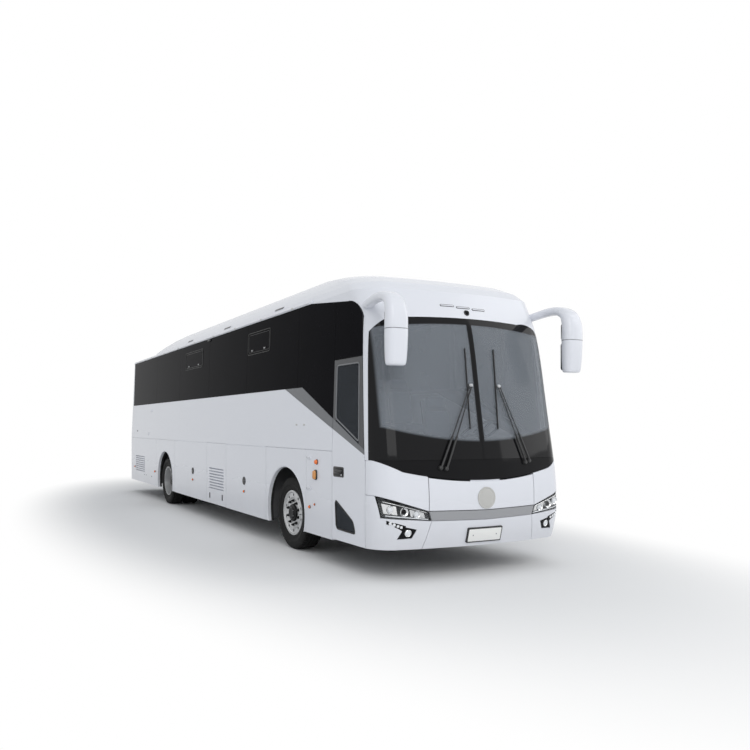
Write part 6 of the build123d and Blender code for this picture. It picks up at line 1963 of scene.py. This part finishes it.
def make_floor(tint):
    """A wide pale floor that keeps the coach's shadow and goes white away from it."""
    mesh = bpy.data.meshes.new("studio_floor")
    reach = FLOOR_REACH
    corners = [(-reach, -reach, 0), (reach, -reach, 0), (reach, reach, 0), (-reach, reach, 0)]
    mesh.from_pydata(corners, [], [(0, 1, 2, 3)])
    floor = bpy.data.objects.new("studio_floor", mesh)
    bpy.context.scene.collection.objects.link(floor)
    finish = Finish("studio_floor")
    point, x, y, z = finish.place()
    speckle = finish.noise(point, 0.6, 2.0)
    shaded = finish.node("ShaderNodeBsdfPrincipled", sockets={
        "Base Color": finish.mix(speckle, rgba(tint, 0.99), rgba(tint)),
        "Roughness": 0.9,
        "Specular IOR Level": 0.1,
    })
    white = finish.node("ShaderNodeEmission", sockets={"Color": WHITE, "Strength": 1.0})
    along = x / SHADOW_REACH[0]
    across = y / SHADOW_REACH[1]
    away = finish.step(along * along + across * across, *SHADOW_FADE)
    surface = finish.node("ShaderNodeMixShader", sockets={0: finish.seen() * away, 1: shaded, 2: white})
    finish.node("ShaderNodeOutputMaterial", sockets={"Surface": surface})
    mesh.materials.append(finish.material)


class Backdrop(Finish):
    """The world being built from nodes."""

    def __init__(self, scene):
        world = bpy.data.worlds.new("studio_sky")
        scene.world = world
        world.use_nodes = True
        self.tree = world.node_tree
        self.tree.nodes.clear()


def make_sky(scene, strength):
    """Even light all round, with a white backdrop for the camera, gloss and glass."""
    sky = Backdrop(scene)
    light = sky.node("ShaderNodeBackground", sockets={"Color": SKY_TINT, "Strength": strength})
    white = sky.node("ShaderNodeBackground", sockets={"Color": WHITE, "Strength": 1.0})
    mixed = sky.node("ShaderNodeMixShader", sockets={0: sky.seen(), 1: light, 2: white})
    sky.node("ShaderNodeOutputWorld", sockets={"Surface": mixed})


def make_softbox(name, place, size, power):
    """A large square light aimed at the middle of the coach."""
    data = bpy.data.lights.new(name, "AREA")
    data.size = size
    data.energy = power
    box = bpy.data.objects.new(name, data)
    box.location = place
    aim = Vector(LIGHT_AIM) - Vector(place)
    box.rotation_euler = aim.to_track_quat("-Z", "Y").to_euler()
    bpy.context.scene.collection.objects.link(box)


def make_camera(scene, studio):
    """A level camera with a shifted lens."""
    data = bpy.data.cameras.new("camera")
    data.lens = studio.lens
    data.shift_x, data.shift_y = studio.shift
    data.clip_end = VIEW_REACH
    camera = bpy.data.objects.new("camera", data)
    camera.location = studio.eye
    camera.rotation_euler = (pi / 2, 0, studio.heading)
    scene.collection.objects.link(camera)
    scene.camera = camera


class COACH_OT_studio(bpy.types.Operator):
    """Build the floor, the lights and the camera"""

    bl_idname = "coach.studio"
    bl_label = "Studio"

    def execute(self, context):
        scene = context.scene
        studio = scene.coach_studio
        scene.view_settings.view_transform = "Standard"
        make_floor(scene.coach_colours.floor)
        make_sky(scene, studio.sky)
        for name, (place, size) in SOFTBOXES.items():
            make_softbox(f"{name}_light", place, size, getattr(studio, f"{name}_power"))
        make_camera(scene, studio)
        return {"FINISHED"}


class COACH_PT_sidebar(bpy.types.Panel):
    """The coach's steps and settings"""

    bl_idname = "COACH_PT_sidebar"
    bl_label = "Electric coach"
    bl_space_type = "VIEW_3D"
    bl_region_type = "UI"
    bl_category = "Coach"

    def draw(self, context):
        for operator in OPERATORS:
            self.layout.operator(operator.bl_idname)
        for group in (context.scene.coach_colours, context.scene.coach_sizes, context.scene.coach_studio):
            for name in group.__annotations__:
                self.layout.prop(group, name)


GROUPS = {"coach_colours": CoachColours, "coach_sizes": CoachSizes, "coach_studio": CoachStudio}
OPERATORS = (
    COACH_OT_finishes,
    COACH_OT_side_fittings,
    COACH_OT_windows,
    COACH_OT_front,
    COACH_OT_wheels,
    COACH_OT_seats,
    COACH_OT_tail,
    COACH_OT_roof,
    COACH_OT_cabin,
    COACH_OT_studio,
)


def register():
    """Add the settings, the operators and the sidebar."""
    for name, group in GROUPS.items():
        bpy.utils.register_class(group)
        setattr(bpy.types.Scene, name, PointerProperty(type=group))
    for kind in (*OPERATORS, COACH_PT_sidebar):
        bpy.utils.register_class(kind)


def unregister():
    """Take them away again."""
    for kind in reversed((*OPERATORS, COACH_PT_sidebar)):
        bpy.utils.unregister_class(kind)
    for name, group in GROUPS.items():
        delattr(bpy.types.Scene, name)
        bpy.utils.unregister_class(group)


def main():
    """Make everything in order."""
    register()
    for operator in OPERATORS:
        group, name = operator.bl_idname.split(".")
        getattr(getattr(bpy.ops, group), name)()


if __name__ == "__main__":
    main()
